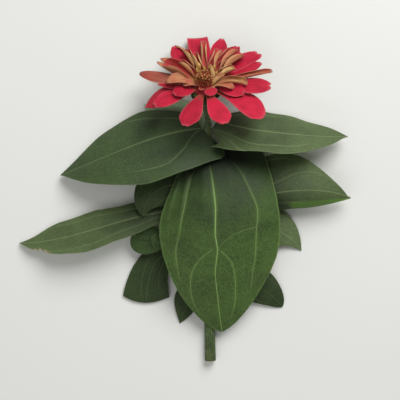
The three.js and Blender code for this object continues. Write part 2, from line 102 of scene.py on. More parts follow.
class Body:
    """Collects points, faces and named values per point, and makes one object of them."""

    def __init__(self):
        self.points = []
        self.faces = []
        self.values = {}
        self.count = 0

    def add(self, points, faces, times=1, **values):
        """Takes one row of each value for every run of points that is as long as times."""
        self.points.append(points)
        self.faces += [[i + self.count for i in face] for face in faces]
        for name, value in values.items():
            self.values.setdefault(name, []).append(np.repeat(value, times, axis=0))
        self.count += len(points)

    def make(self, name, node, material):
        points = (np.concatenate(self.points) + FRAME_SHIFT) * MM
        points[:, 2] = np.maximum(points[:, 2], FLOOR_CLEARANCE * MM)
        mesh = bpy.data.meshes.new(name)
        mesh.from_pydata(points.tolist(), [], self.faces)
        for key, parts in self.values.items():
            value = np.concatenate(parts)
            attribute = mesh.attributes.new(key, "FLOAT_VECTOR", "POINT")
            attribute.data.foreach_set("vector", value.astype(np.float32).ravel())
        mesh.shade_smooth()
        mesh.validate()
        mesh.materials.append(material)
        piece = add_object(name, mesh)
        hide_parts(node)
        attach(piece, "root")


def blade_places(rows, columns, crowding=0, start=0):
    """Places along a blade, and from -1 to 1 across it, where crowding sets columns closer by the margins."""
    across = np.linspace(-1, 1, columns)
    if crowding:
        across = np.sin(across * np.pi / 2 * crowding) / np.sin(np.pi / 2 * crowding)
    return np.linspace(start, 1, rows)[:, None] * np.ones(columns), np.ones((rows, 1)) * across


def grid_faces(rows, columns, offset=0, flip=False):
    i, j = np.meshgrid(np.arange(rows - 1), np.arange(columns - 1), indexing="ij")
    a = (i * columns + j + offset).ravel()
    quads = np.stack([a, a + columns, a + columns + 1, a + 1], axis=1)
    return (quads[:, ::-1] if flip else quads).tolist()


def tube_faces(rows, sides):
    """The faces of a tube of rings of points, closed at both ends."""
    faces = []
    for i in range(rows - 1):
        for j in range(sides):
            k = (j + 1) % sides
            faces.append([i * sides + j, i * sides + k, (i + 1) * sides + k, (i + 1) * sides + j])
    faces.append(list(range(sides))[::-1])
    faces.append([(rows - 1) * sides + j for j in range(sides)])
    return faces


def ring_directions(side, up, sides):
    """The angles round a line, and the directions there from a sideways and an upward one at each point."""
    turn = np.linspace(0, 2 * np.pi, sides, endpoint=False)
    return turn, side[:, None] * np.cos(turn)[:, None] + up[:, None] * np.sin(turn)[:, None]


def normals(points):
    """The upper face's direction on a grid of points whose rows run along and columns run across."""
    along = np.gradient(points, axis=0)
    across = np.gradient(points, axis=1)
    return unit(np.cross(along, across))


def add_blade(body, middle, above, below, **values):
    """A thin closed blade round a grid of middle points. above and below are the distances to its faces.
    A value is one grid for both faces or a pair of them."""
    rows, columns = middle.shape[:2]
    normal = normals(middle)
    upper = middle + normal * above[..., None]
    lower = middle - normal * below[..., None]
    under = rows * columns
    faces = grid_faces(rows, columns) + grid_faces(rows, columns, under, flip=True)
    top = np.arange(under).reshape(rows, columns)
    rim = np.concatenate([top[:, 0], top[-1, 1:], top[-2::-1, -1], top[0, -2:0:-1]])
    for a, b in zip(rim, np.roll(rim, -1)):
        faces.append([int(a), int(a + under), int(b + under), int(b)])
    points = np.concatenate([upper.reshape(-1, 3), lower.reshape(-1, 3)])
    for name, value in values.items():
        pair = value if isinstance(value, tuple) else (value, value)
        values[name] = np.concatenate([grid.reshape(-1, 3) for grid in pair])
    body.add(points, faces, **values)
    return upper, normal


def add_tube(body, line, radii, sides, **values):
    """A closed tube round a line of points."""
    along = unit(np.gradient(line, axis=0))
    reference = np.where(np.abs(along[:, 2:]) > 0.9, vec(1, 0, 0), vec(*UP))
    side = unit(np.cross(along, reference))
    _, ring = ring_directions(side, np.cross(along, side), sides)
    points = line[:, None] + ring * radii[:, None, None]
    body.add(points.reshape(-1, 3), tube_faces(len(line), sides), sides, **values)


def add_hairs(body, roots, directions, lengths, radius, **values):
    """Stiff three-sided hairs, each from its root to a point."""
    side = unit(np.cross(directions, vec(0.3, 0.5, 0.8)))
    other = np.cross(directions, side)
    corners = []
    for turn in (0, 2 * np.pi / 3, 4 * np.pi / 3):
        corners.append(roots + radius * (side * np.cos(turn) + other * np.sin(turn)) - directions * 0.1)
    tips = roots + directions * lengths[:, None]
    points = np.stack([*corners, tips], axis=1).reshape(-1, 3)
    faces = []
    for i in range(0, 4 * len(roots), 4):
        faces += [[i, i + 1, i + 3], [i + 1, i + 2, i + 3], [i + 2, i, i + 3], [i, i + 2, i + 1]]
    body.add(points, faces, 4, **values)


def fold_arc(a, fold, curve):
    """Sideways and upward travel at distance a of a section that leaves at an angle and keeps turning."""
    end = fold + curve * a
    safe = np.where(np.abs(curve) < 1e-6, 1e-6, curve)
    bent = np.stack([(np.sin(end) - np.sin(fold)) / safe, (np.cos(fold) - np.cos(end)) / safe])
    straight = np.stack([a * np.cos(fold), a * np.sin(fold)])
    return np.where(np.abs(curve) < 1e-6, straight, bent)


def through_points(points):
    """A cubic curve through four points a third of the way apart, and its direction."""
    a, b, c, d = [vec(*p) for p in points]
    p = [a, -5 / 6 * a + 3 * b - 1.5 * c + d / 3, a / 3 - 1.5 * b + 3 * c - 5 / 6 * d, d]

    def place(t):
        u = 1 - t
        return u**3 * p[0] + 3 * u * u * t * p[1] + 3 * u * t * t * p[2] + t**3 * p[3]

    def direction(t):
        u = 1 - t
        return unit(3 * u * u * (p[1] - p[0]) + 6 * u * t * (p[2] - p[1]) + 3 * t * t * (p[3] - p[2]))

    return place, direction


# Leaves. Left and right are those of someone at the root who looks along the leaf with its upper face up.


def half(width, base, fold=0, curl=0, lobe=0, peak=None):
    """One half of a leaf: its width, the share of that at the root, the degrees at which it leaves the midrib
    and how many more it turns, how far its root reaches back, and the place where it is widest."""
    return {"width": width, "base": base, "fold": fold, "curl": curl, "lobe": lobe, "peak": peak}


def leaf_width(t, base, peak, point):
    """The share of its full width that a half of a leaf has along it."""
    rising = base + (1 - base) * np.sin(np.pi / 2 * np.clip(t / peak, 0, 1))
    falling = np.cos(np.pi / 2 * np.clip((t - peak) / (1 - peak), 0, 1)) ** point
    return np.where(t < peak, rising, falling)


def run_of(places):
    """A smooth line through (place along the leaf, share of the half width), and where it has begun."""
    along, share = np.array(places).T
    fine = np.linspace(-0.3, 1.3, 641)
    kernel = np.hanning(49)
    padded = np.pad(np.interp(fine, along, share), len(kernel) // 2, mode="edge")
    smooth = np.convolve(padded, kernel / kernel.sum(), "valid")
    return lambda t: (np.interp(t, fine, smooth), smoothstep(t, along[0] - 0.02, along[0] + 0.02))


# Where the side veins run in leaves that have none of their own.
LATERAL = [(0, 0.1), (0.05, 0.25), (0.15, 0.4), (0.3, 0.53), (0.5, 0.64), (0.7, 0.74), (0.84, 0.8)]


def side_vein(leaf, kind, t, leftward, otherwise=None):
    """The share of the half width that a side vein runs at on either side, and how strong it is there."""
    share, strength = np.full(t.shape, 3.0), np.zeros(t.shape)
    for side, mask in (("left", leftward), ("right", ~leftward)):
        places = leaf.get(kind, {}).get(side, otherwise)
        if places:
            place, start = run_of(places)(t)
            end = places[-1][0]
            share = np.where(mask, place, share)
            strength = np.where(mask, start * smoothstep(t, end + 0.04, end - 0.12), strength)
    return share, strength


VEIN_REACH = 0.36  # how far along the leaf a small vein runs from its foot on the midrib to the margin
VEIN_SPACING = 0.105  # between the feet of two small veins, as a share of the leaf's length
VEIN_SLANT = 0.7  # a distance across small veins, as a share of the same along the leaf
MARGIN_UNEVENNESS = 0.24
LEAF_CROWDING, PETAL_CROWDING = 0.82, 0.86
LARGE_LEAF = {"rows": 190, "columns": 97, "hairs": 900}
SMALL_LEAF = {"rows": 110, "columns": 61, "hairs": 350}
FAR = 40.0  # a distance to a vein, in half widths of it, at which nothing of the vein shows


def leaf_grid(leaf, rows, columns):
    """The middle surface of a leaf, with places t along and s across, distances a from the midrib and the
    full half width."""
    place, direction = through_points(leaf["midrib"])
    fine = np.linspace(0, 1, 200)[:, None]
    length = np.sum(np.linalg.norm(np.diff(place(fine), axis=0), axis=1))
    point = leaf.get("point", 0.9)
    wave, waves, phase = leaf.get("wave", 0), leaf.get("waves", 3), leaf.get("phase", 0)
    t, s = blade_places(rows, columns, LEAF_CROWDING)
    leftward = s > 0
    peak = leaf.get("peak", 0.42)
    left, right = ({**leaf[side], "peak": leaf[side]["peak"] or peak} for side in ("left", "right"))
    pick = {key: np.where(leftward, left[key], right[key]) for key in left}

    # The middle line. A lobe reaches back past the root, and a blunt tip loses length at its sides.
    u = t - pick["lobe"] / length * np.sin(2.5 * s * s) * (1 - t) ** 5
    u = u - leaf.get("blunt", 0) / length * s * s * t**6
    inside = np.maximum(u, 0)[..., None]
    along = direction(inside)
    middle = place(inside) + along * np.minimum(u, 0)[..., None] * length
    face = vec(*leaf["face_root"]) * (1 - t[..., None]) + vec(*leaf["face_tip"]) * t[..., None]
    face = unit(face - along * dot(face, along))
    outward = np.cross(face, along)

    # The half width, with a bite, hollows and a fine unevenness of the margin.
    full = pick["width"] * leaf_width(t, pick["base"], pick["peak"], point)
    if "bite" in leaf:
        bite_side, bite_place, bite_width, depth = leaf["bite"]
        torn = depth * bell(t - bite_place, bite_width) * (0.7 + 0.3 * np.sin(210 * t))
        full = full - np.where(leftward == (bite_side == "left"), torn, 0)
    for side, place_along, width, depth in leaf.get("hollows", []):
        full = full - np.where(leftward == (side == "left"), depth * bell(t - place_along, width), 0)
    uneven = ripple(t * length / 3.5, 5.0 * leftward, round(length))
    full = np.maximum(full + MARGIN_UNEVENNESS * uneven * np.minimum(1, 6 * (1 - t)), 0.5)

    # The section, which leaves the midrib at an angle, keeps turning and has a waved margin.
    a = full * np.abs(s)
    out, lift = fold_arc(a, np.radians(pick["fold"]), np.radians(pick["curl"]) / pick["width"])
    turn = 2 * np.pi * waves * t + phase + np.where(leftward, 1.4, 0)
    lift = lift + wave * s * s * np.sin(turn) * np.minimum(1, 3 * t)
    middle = middle + outward * (np.sign(s) * out)[..., None] + face * lift[..., None]
    return {"t": t, "s": s, "a": a, "full": full, "length": length, "middle": middle}


def leaf_veins(leaf, grid):
    """Distances to the veins, in half widths of the vein, and the relief that they give the upper face."""
    t, s, a, full, length = (grid[key] for key in ("t", "s", "a", "full", "length"))
    share = np.abs(s)
    size = min(1.0, length / 90)
    leftward = s > 0
    drift = np.interp(t, *np.array(leaf.get("drift", [(0, 0), (1, 0)])).T)
    middle = np.sign(s) * a - drift
    bold = leaf.get("bold", 1) * size
    midrib = middle / (bold * (0.72 - 0.5 * smoothstep(t, 0, 0.75)))

    # The main side veins, or a branch or the bridge where that is nearer.
    lateral_share, lateral_strength = side_vein(leaf, "laterals", t, leftward, LATERAL)
    branch_share, branch_strength = side_vein(leaf, "branches", t, leftward)
    wobble = 0.25 * np.sin(9 * np.pi * t + 1.3) * size
    lateral = (a - lateral_share * full + wobble) / (bold * (0.52 - 0.25 * t))
    lateral = lateral / np.maximum(lateral_strength, 0.02)
    branch = (a - branch_share * full) / (bold * 0.36) / np.maximum(branch_strength, 0.02)
    bridge = np.full(t.shape, FAR)
    if "bridge" in leaf:
        crossing = np.interp(share, *np.array(leaf["bridge"]).T)
        near = leftward & (share < leaf["bridge"][-1][0])
        bridge = np.where(near, (t - crossing) * length / 0.2, FAR)
    for other in (branch, bridge):
        lateral = np.where(np.abs(other) < np.abs(lateral), other, lateral)

    # Small veins run from the midrib to the side vein, and others from there to the margin.
    inside = share < lateral_share
    inner = t - VEIN_REACH * (share / 0.8) ** 1.7
    outer_share = np.clip((share - lateral_share) / np.maximum(1.001 - lateral_share, 0.05), 0, 1)
    outer = t - 0.13 * outer_share**1.3
    small = np.where(inside, inner, outer) / VEIN_SPACING
    nearest = np.abs(small - np.round(small)) * VEIN_SPACING * length * VEIN_SLANT

    # The face sinks along the veins and rises in the pleats.
    relief = -0.34 * size * bell(middle, 0.9) * (1 - 0.6 * t)
    relief -= 0.26 * size * bell(a - lateral_share * full, 0.9) * lateral_strength
    strength = np.where(inside, 0.45, 0.35)
    relief -= 0.1 * size * strength * bell(nearest, 0.7)
    for side, place, width, depth in leaf.get("pleats", []):
        mask = leftward if side == "left" else ~leftward
        reach = smoothstep(t, 0.5, 0.1) * smoothstep(t, -0.02, 0.05)
        relief += mask * depth * bell(a - place * full, width) * reach
    return midrib, lateral, small, strength, relief * smoothstep(share, 1.02, 0.92)


def make_leaf(name, leaf, node=None):
    """One leaf with its veins, puckered skin, keel and hairs. The name also sets its unevenness."""
    detail = LARGE_LEAF if leaf["large"] else SMALL_LEAF
    grid = leaf_grid(leaf, detail["rows"], detail["columns"])
    midrib, lateral, small, strength, relief = leaf_veins(leaf, grid)
    t, s, a, length = grid["t"], grid["s"], grid["a"], grid["length"]
    share = np.abs(s)
    across = np.sign(s) * a
    seed = sum(map(ord, name))
    pucker = 0.16 * ripple(t * length / 6, across / 6, seed) * smoothstep(share, 1.0, 0.8)
    skin = LEAF_THICKNESS / 2 * (0.35 + 0.65 * (1 - share**6)) * (0.4 + 0.6 * (1 - t**8))
    rib = leaf.get("rib", 0.9)
    keel = rib * (1 - 0.75 * t) * bell(a, 1.3) + 0.25 * bell(lateral, 1.6) * rib
    if leaf.get("flat"):
        relief, pucker, keel = relief * 0.5, pucker * 0.3, 0 * keel
    above, below = skin + relief + pucker, skin - 0.6 * relief - pucker + keel
    values = {
        "blade": stack(t * length, across, share),
        "veins": stack(midrib, lateral, small),
        "side": (stack(1, strength, t), stack(0, strength, t)),
    }
    body = Body()
    upper, normal = add_blade(body, grid["middle"], above, below, **values)
    if not leaf.get("flat"):
        add_leaf_hairs(body, grid, upper, normal, detail["hairs"], seed)
    body.make(name, node or name, leaf_material(name, leaf, length))


def add_leaf_hairs(body, grid, upper, normal, count, seed):
    """Short bristles along the margin and thinly over the upper face."""
    draw = np.random.default_rng(seed)
    rows, columns = upper.shape[:2]
    i = draw.integers(4, rows - 3, count)
    on_margin = draw.random(count) < 0.55
    j = np.where(on_margin, draw.choice([0, columns - 1], count), draw.integers(2, columns - 2, count))
    edge = (j == 0) | (j == columns - 1)
    outward = unit(upper[i, np.clip(j, 1, columns - 2)] - upper[i, columns // 2])
    forward = unit(upper[np.minimum(i + 3, rows - 1), j] - upper[i, j])
    lean = np.where(edge[:, None], outward + 0.2 * normal[i, j], normal[i, j])
    ways = unit(lean + 0.5 * forward + draw.normal(0, 0.12, (count, 3)))
    lengths = draw.uniform(0.3, 0.6, count)
    t, s, a = (grid[key][i, j] for key in ("t", "s", "a"))
    values = {
        "blade": stack(t * grid["length"], a, np.abs(s)),
        "veins": np.full((count, 3), FAR),
        "side": stack(2, 0, t),
    }
    add_hairs(body, upper[i, j] - normal[i, j] * 0.1, ways, lengths, 0.05, **values)


# Materials.


def screen(red, green, blue):
    """A linear colour from 0 to 255 screen values."""
    c = vec(red, green, blue) / 255
    c = np.where(c <= 0.04045, c / 12.92, ((c + 0.055) / 1.055) ** 2.4)
    return (*c.tolist(), 1.0)


class Nodes:
    """Builds the node tree of one material."""

    def __init__(self, name):
        self.material = bpy.data.materials.new(name)
        self.material.use_nodes = True
        self.tree = self.material.node_tree
        self.shader = next(node for node in self.tree.nodes if node.type == "BSDF_PRINCIPLED")

    def put(self, socket, value):
        if isinstance(value, bpy.types.NodeSocket):
            self.tree.links.new(value, socket)
        else:
            socket.default_value = value

    def set(self, sockets, **values):
        for name, value in values.items():
            self.put(sockets[name.replace("_", " ").title().replace("Ior", "IOR")], value)

    def new(self, kind, **inputs):
        node = self.tree.nodes.new("ShaderNode" + kind)
        self.set(node.inputs, **inputs)
        return node

    def math(self, operation, *values):
        node = self.new("Math")
        node.operation = operation
        for socket, value in zip(node.inputs, values):
            self.put(socket, value)
        return node.outputs[0]

    def times(self, a, b):
        return self.math("MULTIPLY", a, b)

    def plus(self, a, b):
        return self.math("ADD", a, b)

    def absolute(self, value):
        return self.math("ABSOLUTE", value)

    def most(self, *values):
        result = values[0]
        for value in values[1:]:
            result = self.math("MAXIMUM", result, value)
        return result

    def range(self, value, low, high, start=0.0, end=1.0):
        """Goes smoothly from start to end as the value goes from low to high."""
        node = self.new("MapRange", value=value, from_min=low, from_max=high, to_min=start, to_max=end)
        node.interpolation_type = "SMOOTHSTEP"
        return node.outputs[0]

    def line(self, distance, width, soft):
        """1 where the distance is under the width, and 0 beyond width + soft."""
        return self.range(self.absolute(distance), width, width + soft, 1.0, 0.0)

    def attribute(self, name):
        """The three values that the points of the mesh hold under this name."""
        node = self.new("Attribute")
        node.attribute_name = name
        return self.new("SeparateXYZ", vector=node.outputs["Vector"]).outputs

    def vector(self, x, y, z=0.0):
        return self.new("CombineXYZ", x=x, y=y, z=z).outputs[0]

    def noise(self, place, scale, detail=2.0, roughness=0.5):
        return self.new("TexNoise", vector=place, scale=scale, detail=detail, roughness=roughness).outputs[0]

    def cells(self, place, scale):
        """Distance to the edge of the nearest cell of an uneven net."""
        node = self.new("TexVoronoi", vector=place, scale=scale)
        node.feature = "DISTANCE_TO_EDGE"
        return node.outputs["Distance"]

    def mix(self, share, a, b):
        node = self.new("Mix")
        node.data_type = "RGBA"
        for index, value in ((0, share), (6, a), (7, b)):
            self.put(node.inputs[index], value)
        return node.outputs[2]

    def tint(self, colour, weight, most, towards):
        """The colour, mixed towards another by up to most where the weight is 1."""
        return self.mix(self.times(weight, most), colour, towards)

    def between(self, value, a, b, low=0.3, high=0.7):
        """Colour a where the value is low and b where it is high."""
        return self.mix(self.range(value, low, high), a, b)

    def object_place(self):
        return self.new("TexCoord").outputs["Object"]

    def finish(self, colour, roughness, height, depth, strength, **more):
        """Gives the shader its colour and its relief, whose depth is in metres."""
        bump = self.new("Bump", height=height, distance=depth, strength=strength).outputs[0]
        self.set(self.shader.inputs, base_color=colour, roughness=roughness, normal=bump, **more)
        return self.material


# Screen colours of the blade where it is dark and light, and of its veins.
LEAF_TONES = {
    "front": ((32, 50, 18), (66, 92, 38), (134, 166, 92)),
    "upper": ((34, 49, 27), (62, 82, 44), (104, 124, 78)),
    "side": ((46, 60, 34), (82, 99, 58), (122, 140, 92)),
    "open": ((58, 73, 44), (94, 112, 70), (132, 150, 102)),
    # shaded is a darker copy of leaf green for the low leaves: painted shade.
    "shaded": ((25, 38, 16), (46, 62, 29), (80, 98, 54)),
    # back is far paler than leaf green: painted light, as if the leaf were lit through from behind.
    "back": ((134, 166, 122), (174, 202, 158), (230, 240, 214)),
    "young": ((30, 50, 20), (56, 80, 34), (92, 116, 58)),
}


def leaf_material(name, leaf, length):
    """Leaf green with paler sunken veins, a fine net between them and a paler underside."""
    dark, light, vein = (screen(*tone) for tone in LEAF_TONES[leaf["tone"]])
    n = Nodes(name)
    along, across, share = n.attribute("blade")
    midrib, lateral, small = n.attribute("veins")
    side, strength, t = n.attribute("side")
    place = n.vector(along, across)

    drift = n.noise(place, 0.22, 2)
    wander = n.plus(small, n.times(n.plus(drift, -0.5), 0.5))
    gap = n.times(n.math("PINGPONG", wander, 0.5), VEIN_SPACING * length * VEIN_SLANT)
    main = n.line(midrib, 0.3, 0.6)
    second = n.line(lateral, 0.25, 0.6)
    third = n.times(n.line(gap, 0.1, 0.42), strength)
    bent = n.vector(n.plus(along, n.times(drift, 3.0)), n.plus(across, n.times(drift, -3.0)))
    coarse = n.line(n.cells(bent, 0.3), 0.012, 0.06)
    fine = n.line(n.cells(bent, 0.72), 0.0, 0.1)
    spread = n.range(t, 0.2, 0.7, 0.25, 1.0)
    net = n.times(n.most(n.times(coarse, 0.35), n.times(fine, 0.5)), spread)
    veins = n.most(main, n.times(second, 0.85), n.times(third, 0.6), net)

    mottle = n.noise(place, 0.06, 4, 0.55)
    grain = n.noise(place, 0.9, 3, 0.6)
    blend = n.plus(n.times(n.range(mottle, 0.3, 0.7), 0.5), n.times(n.range(grain, 0.3, 0.7), 0.27))
    # Painted light: the blade grows lighter towards its margins and its tip, as where it turns to the light.
    painted_light = n.plus(n.times(n.range(share, 0.4, 0.95), 0.14), n.times(n.range(t, 0.25, 0.85), 0.32))
    colour = n.mix(n.plus(blend, painted_light), dark, light)
    halo = n.most(n.line(midrib, 0.8, 2.6), n.times(n.line(lateral, 0.8, 2.6), 0.7))
    colour = n.tint(colour, halo, 0.14, vein)
    minor = n.most(n.times(third, 0.14), n.times(net, leaf.get("net", 0.45)))
    paint = n.most(main, n.times(second, leaf.get("second", 0.62)), minor)
    colour = n.mix(paint, colour, vein)
    speck = n.range(n.noise(place, 2.6, 2, 0.6), 0.58, 0.75)
    colour = n.tint(colour, n.times(speck, spread), 0.2, vein)
    # Painted shade: the root and the inner blade darken towards near black, as under the parts above.
    low = n.times(n.range(t, 0.62, 0.15), n.range(share, 0.95, 0.4))
    shade = n.plus(n.range(t, leaf.get("dusk", 0.26), 0.0), n.times(low, 0.4))
    colour = n.tint(colour, shade, leaf.get("shade", 0.25), screen(12, 19, 8))

    # A band of the right half, from turned on, is tinted a brighter green.
    if "turned" in leaf:
        band = n.times(n.range(across, -0.5, -1.5), n.range(t, leaf["turned"], leaf["turned"] + 0.06))
        colour = n.tint(colour, n.times(band, n.range(share, 0.48, 0.6)), 0.8, screen(86, 124, 46))
    if "bite" in leaf:
        _, bite_place, bite_width, _ = leaf["bite"]
        near = n.line(n.plus(t, -bite_place), bite_width * 0.8, bite_width)
        near = n.times(n.times(near, n.range(across, 0.5, 1.5)), n.range(share, 0.8, 0.96))
        colour = n.tint(colour, near, 0.75, n.mix(grain, screen(112, 84, 48), screen(206, 196, 150)))

    colour = n.tint(colour, n.range(share, 0.965, 1.0), 0.35, vein)
    pale = n.mix(0.5, light, screen(150, 164, 120))
    beneath = n.tint(pale, veins, 0.6, screen(178, 190, 142))
    colour = n.between(side, beneath, colour, 0.2, 0.8)
    colour = n.between(side, colour, screen(146, 160, 112), 1.4, 1.8)
    height = n.plus(n.times(veins, -0.8), n.times(n.noise(place, 3.2, 3, 0.6), 0.35))
    roughness = n.range(mottle, 0.2, 0.8, 0.54, 0.66)
    return n.finish(colour, roughness, height, 0.00025, 0.5, specular_ior_level=0.25, sheen_weight=0.05)


def petal_material(name, rolled=False):
    """Velvety crimson-pink above and salmon to tan beneath, with fine lines along the petal."""
    n = Nodes(name)
    t, s, length = n.attribute("blade")
    draw, tan, over = n.attribute("tone")
    face, glow, width = n.attribute("side")
    aside, along = n.times(s, width), n.times(t, length)
    streaks = n.noise(n.vector(n.times(aside, 1.5), n.times(along, 0.09), n.times(draw, 40.0)), 1.0, 3, 0.65)
    soft = n.noise(n.vector(aside, along, n.times(draw, 17.0)), 0.16, 2)

    deep = n.between(streaks, screen(141, 8, 32), screen(174, 19, 50))
    upper = n.mix(glow, deep, n.between(soft, deep, screen(195, 26, 58), 0.15, 0.65))
    # Painted light: the margins and the tip are paler pink, for light through the thin rim and its sheen.
    edge = n.most(n.range(n.absolute(s), 0.84, 1.0), n.range(t, 0.93, 1.0))
    upper = n.tint(upper, edge, 0.45, screen(204, 96, 104))
    claw = n.range(t, 0.62, 0.1) if rolled else n.range(t, 0.36, 0.06)
    upper = n.tint(upper, claw, 0.85, screen(150, 70, 52))

    salmon = n.between(streaks, screen(155, 78, 61), screen(191, 114, 89), 0.32, 0.68)
    olive = n.between(streaks, screen(172, 136, 80), screen(214, 184, 122), 0.32, 0.68)
    under = n.mix(tan, salmon, olive)
    under = n.mix(n.range(glow, 0.6, 0.0, 0.0, 0.5), under, screen(104, 44, 36))
    under = n.tint(under, n.range(soft, 0.4, 0.65), 0.4, screen(168, 52, 50))
    under = n.tint(under, n.range(t, 0.82, 1.0), 0.35, screen(86, 40, 30))
    under = n.tint(under, n.range(n.absolute(s), 0.8, 1.0), 0.5, screen(196, 136, 102))
    colour = n.between(face, under, n.mix(over, upper, under), 0.2, 0.8)
    if rolled:
        colour = n.tint(colour, n.range(t, 0.34, 0.06), 0.55, screen(160, 136, 62))

    lines = n.math("SINE", n.times(aside, 6.5))
    height = n.plus(n.times(lines, 0.12), n.times(streaks, 0.6))
    return n.finish(colour, 0.62, height, 0.00012, 0.5, specular_ior_level=0.16, sheen_weight=0.1)


def disc_material():
    """Dark maroon. The values of tone run it on to gold, to near black and to yellow-green."""
    n = Nodes("disc_maroon")
    gold, dark, green = n.attribute("tone")
    grain = n.noise(n.object_place(), 900, 4, 0.6)
    maroon = n.between(grain, screen(144, 52, 42), screen(206, 104, 72))
    yellow = n.between(grain, screen(160, 104, 50), screen(212, 164, 94))
    leafy = n.between(grain, screen(150, 138, 56), screen(212, 198, 108))
    colour = n.mix(gold, maroon, n.mix(green, yellow, leafy))
    colour = n.mix(dark, colour, screen(58, 16, 14))
    return n.finish(colour, 0.68, grain, 0.0001, 0.5, specular_ior_level=0.3)


def stem_material():
    """Green with fine pale ribs and a brown flush. The first value of tone is 1 on the cut face."""
    n = Nodes("stem_green")
    cut, around, hair = n.attribute("tone")
    place = n.object_place()
    grain = n.noise(place, 260, 4, 0.6)
    broad = n.noise(place, 40, 2)
    colour = n.between(grain, screen(38, 55, 25), screen(74, 94, 48))
    colour = n.tint(colour, n.range(broad, 0.5, 0.75), 0.22, screen(98, 66, 44))
    ribs = n.math("SINE", n.times(around, 14.0))
    colour = n.mix(n.range(ribs, 0.4, 1.0, 0.0, 0.25), colour, screen(128, 140, 88))
    colour = n.mix(cut, colour, n.between(grain, screen(168, 176, 120), screen(214, 214, 172)))
    colour = n.mix(hair, colour, screen(196, 200, 176))
    height = n.plus(n.times(ribs, 0.3), grain)
    return n.finish(colour, 0.58, height, 0.0002, 0.6, specular_ior_level=0.35)


def bract_material():
    """Dull green with a dark dry rim. tone holds the place along and across the bract."""
    n = Nodes("bract_green")
    t, s, _ = n.attribute("tone")
    grain = n.noise(n.object_place(), 420, 3, 0.6)
    colour = n.between(grain, screen(62, 80, 38), screen(104, 122, 66))
    rim = n.most(n.range(t, 0.74, 0.94), n.range(n.absolute(s), 0.74, 0.98))
    colour = n.tint(colour, rim, 0.85, screen(46, 30, 22))
    lines = n.math("SINE", n.times(s, 22.0))
    return n.finish(colour, 0.66, n.plus(n.times(lines, 0.3), grain), 0.00015, 0.5, specular_ior_level=0.25)


# The leaves. midrib has four points a third of the way apart, and face is the way that the upper side looks
# at the root, which face_tip changes towards the tip. left and right are the halves. laterals are the main
# side veins and branches the second ones, in (place along the leaf, share of the half width); a side without
# laterals has LATERAL. bridge is a vein that crosses the left half, in (share of the half width, place).
# drift moves the midrib sideways. pleats raise the blade in (side, share of the half width, width, height).
# hollows draw a margin in, by (side, place, length, depth), and bite tears a margin in the same way. wave,
# waves and phase ripple the margins, blunt squares the tip, point sets how slowly it narrows, and rib is the
# height of the keel beneath. bold widens the veins, second and net set how pale the side veins and the fine
# net are, shade how dark the painted shade at the root is and dusk how far along that reaches. turned is
# the place from which a band of the right half is tinted a brighter green.


def leaf_of(midrib, left, right, large=False, face=UP, face_tip=None, **more):
    """Puts together the values of one leaf."""
    shape = {"midrib": midrib, "left": left, "right": right, "large": large}
    return {**shape, "face_root": face, "face_tip": face_tip or face, **more}


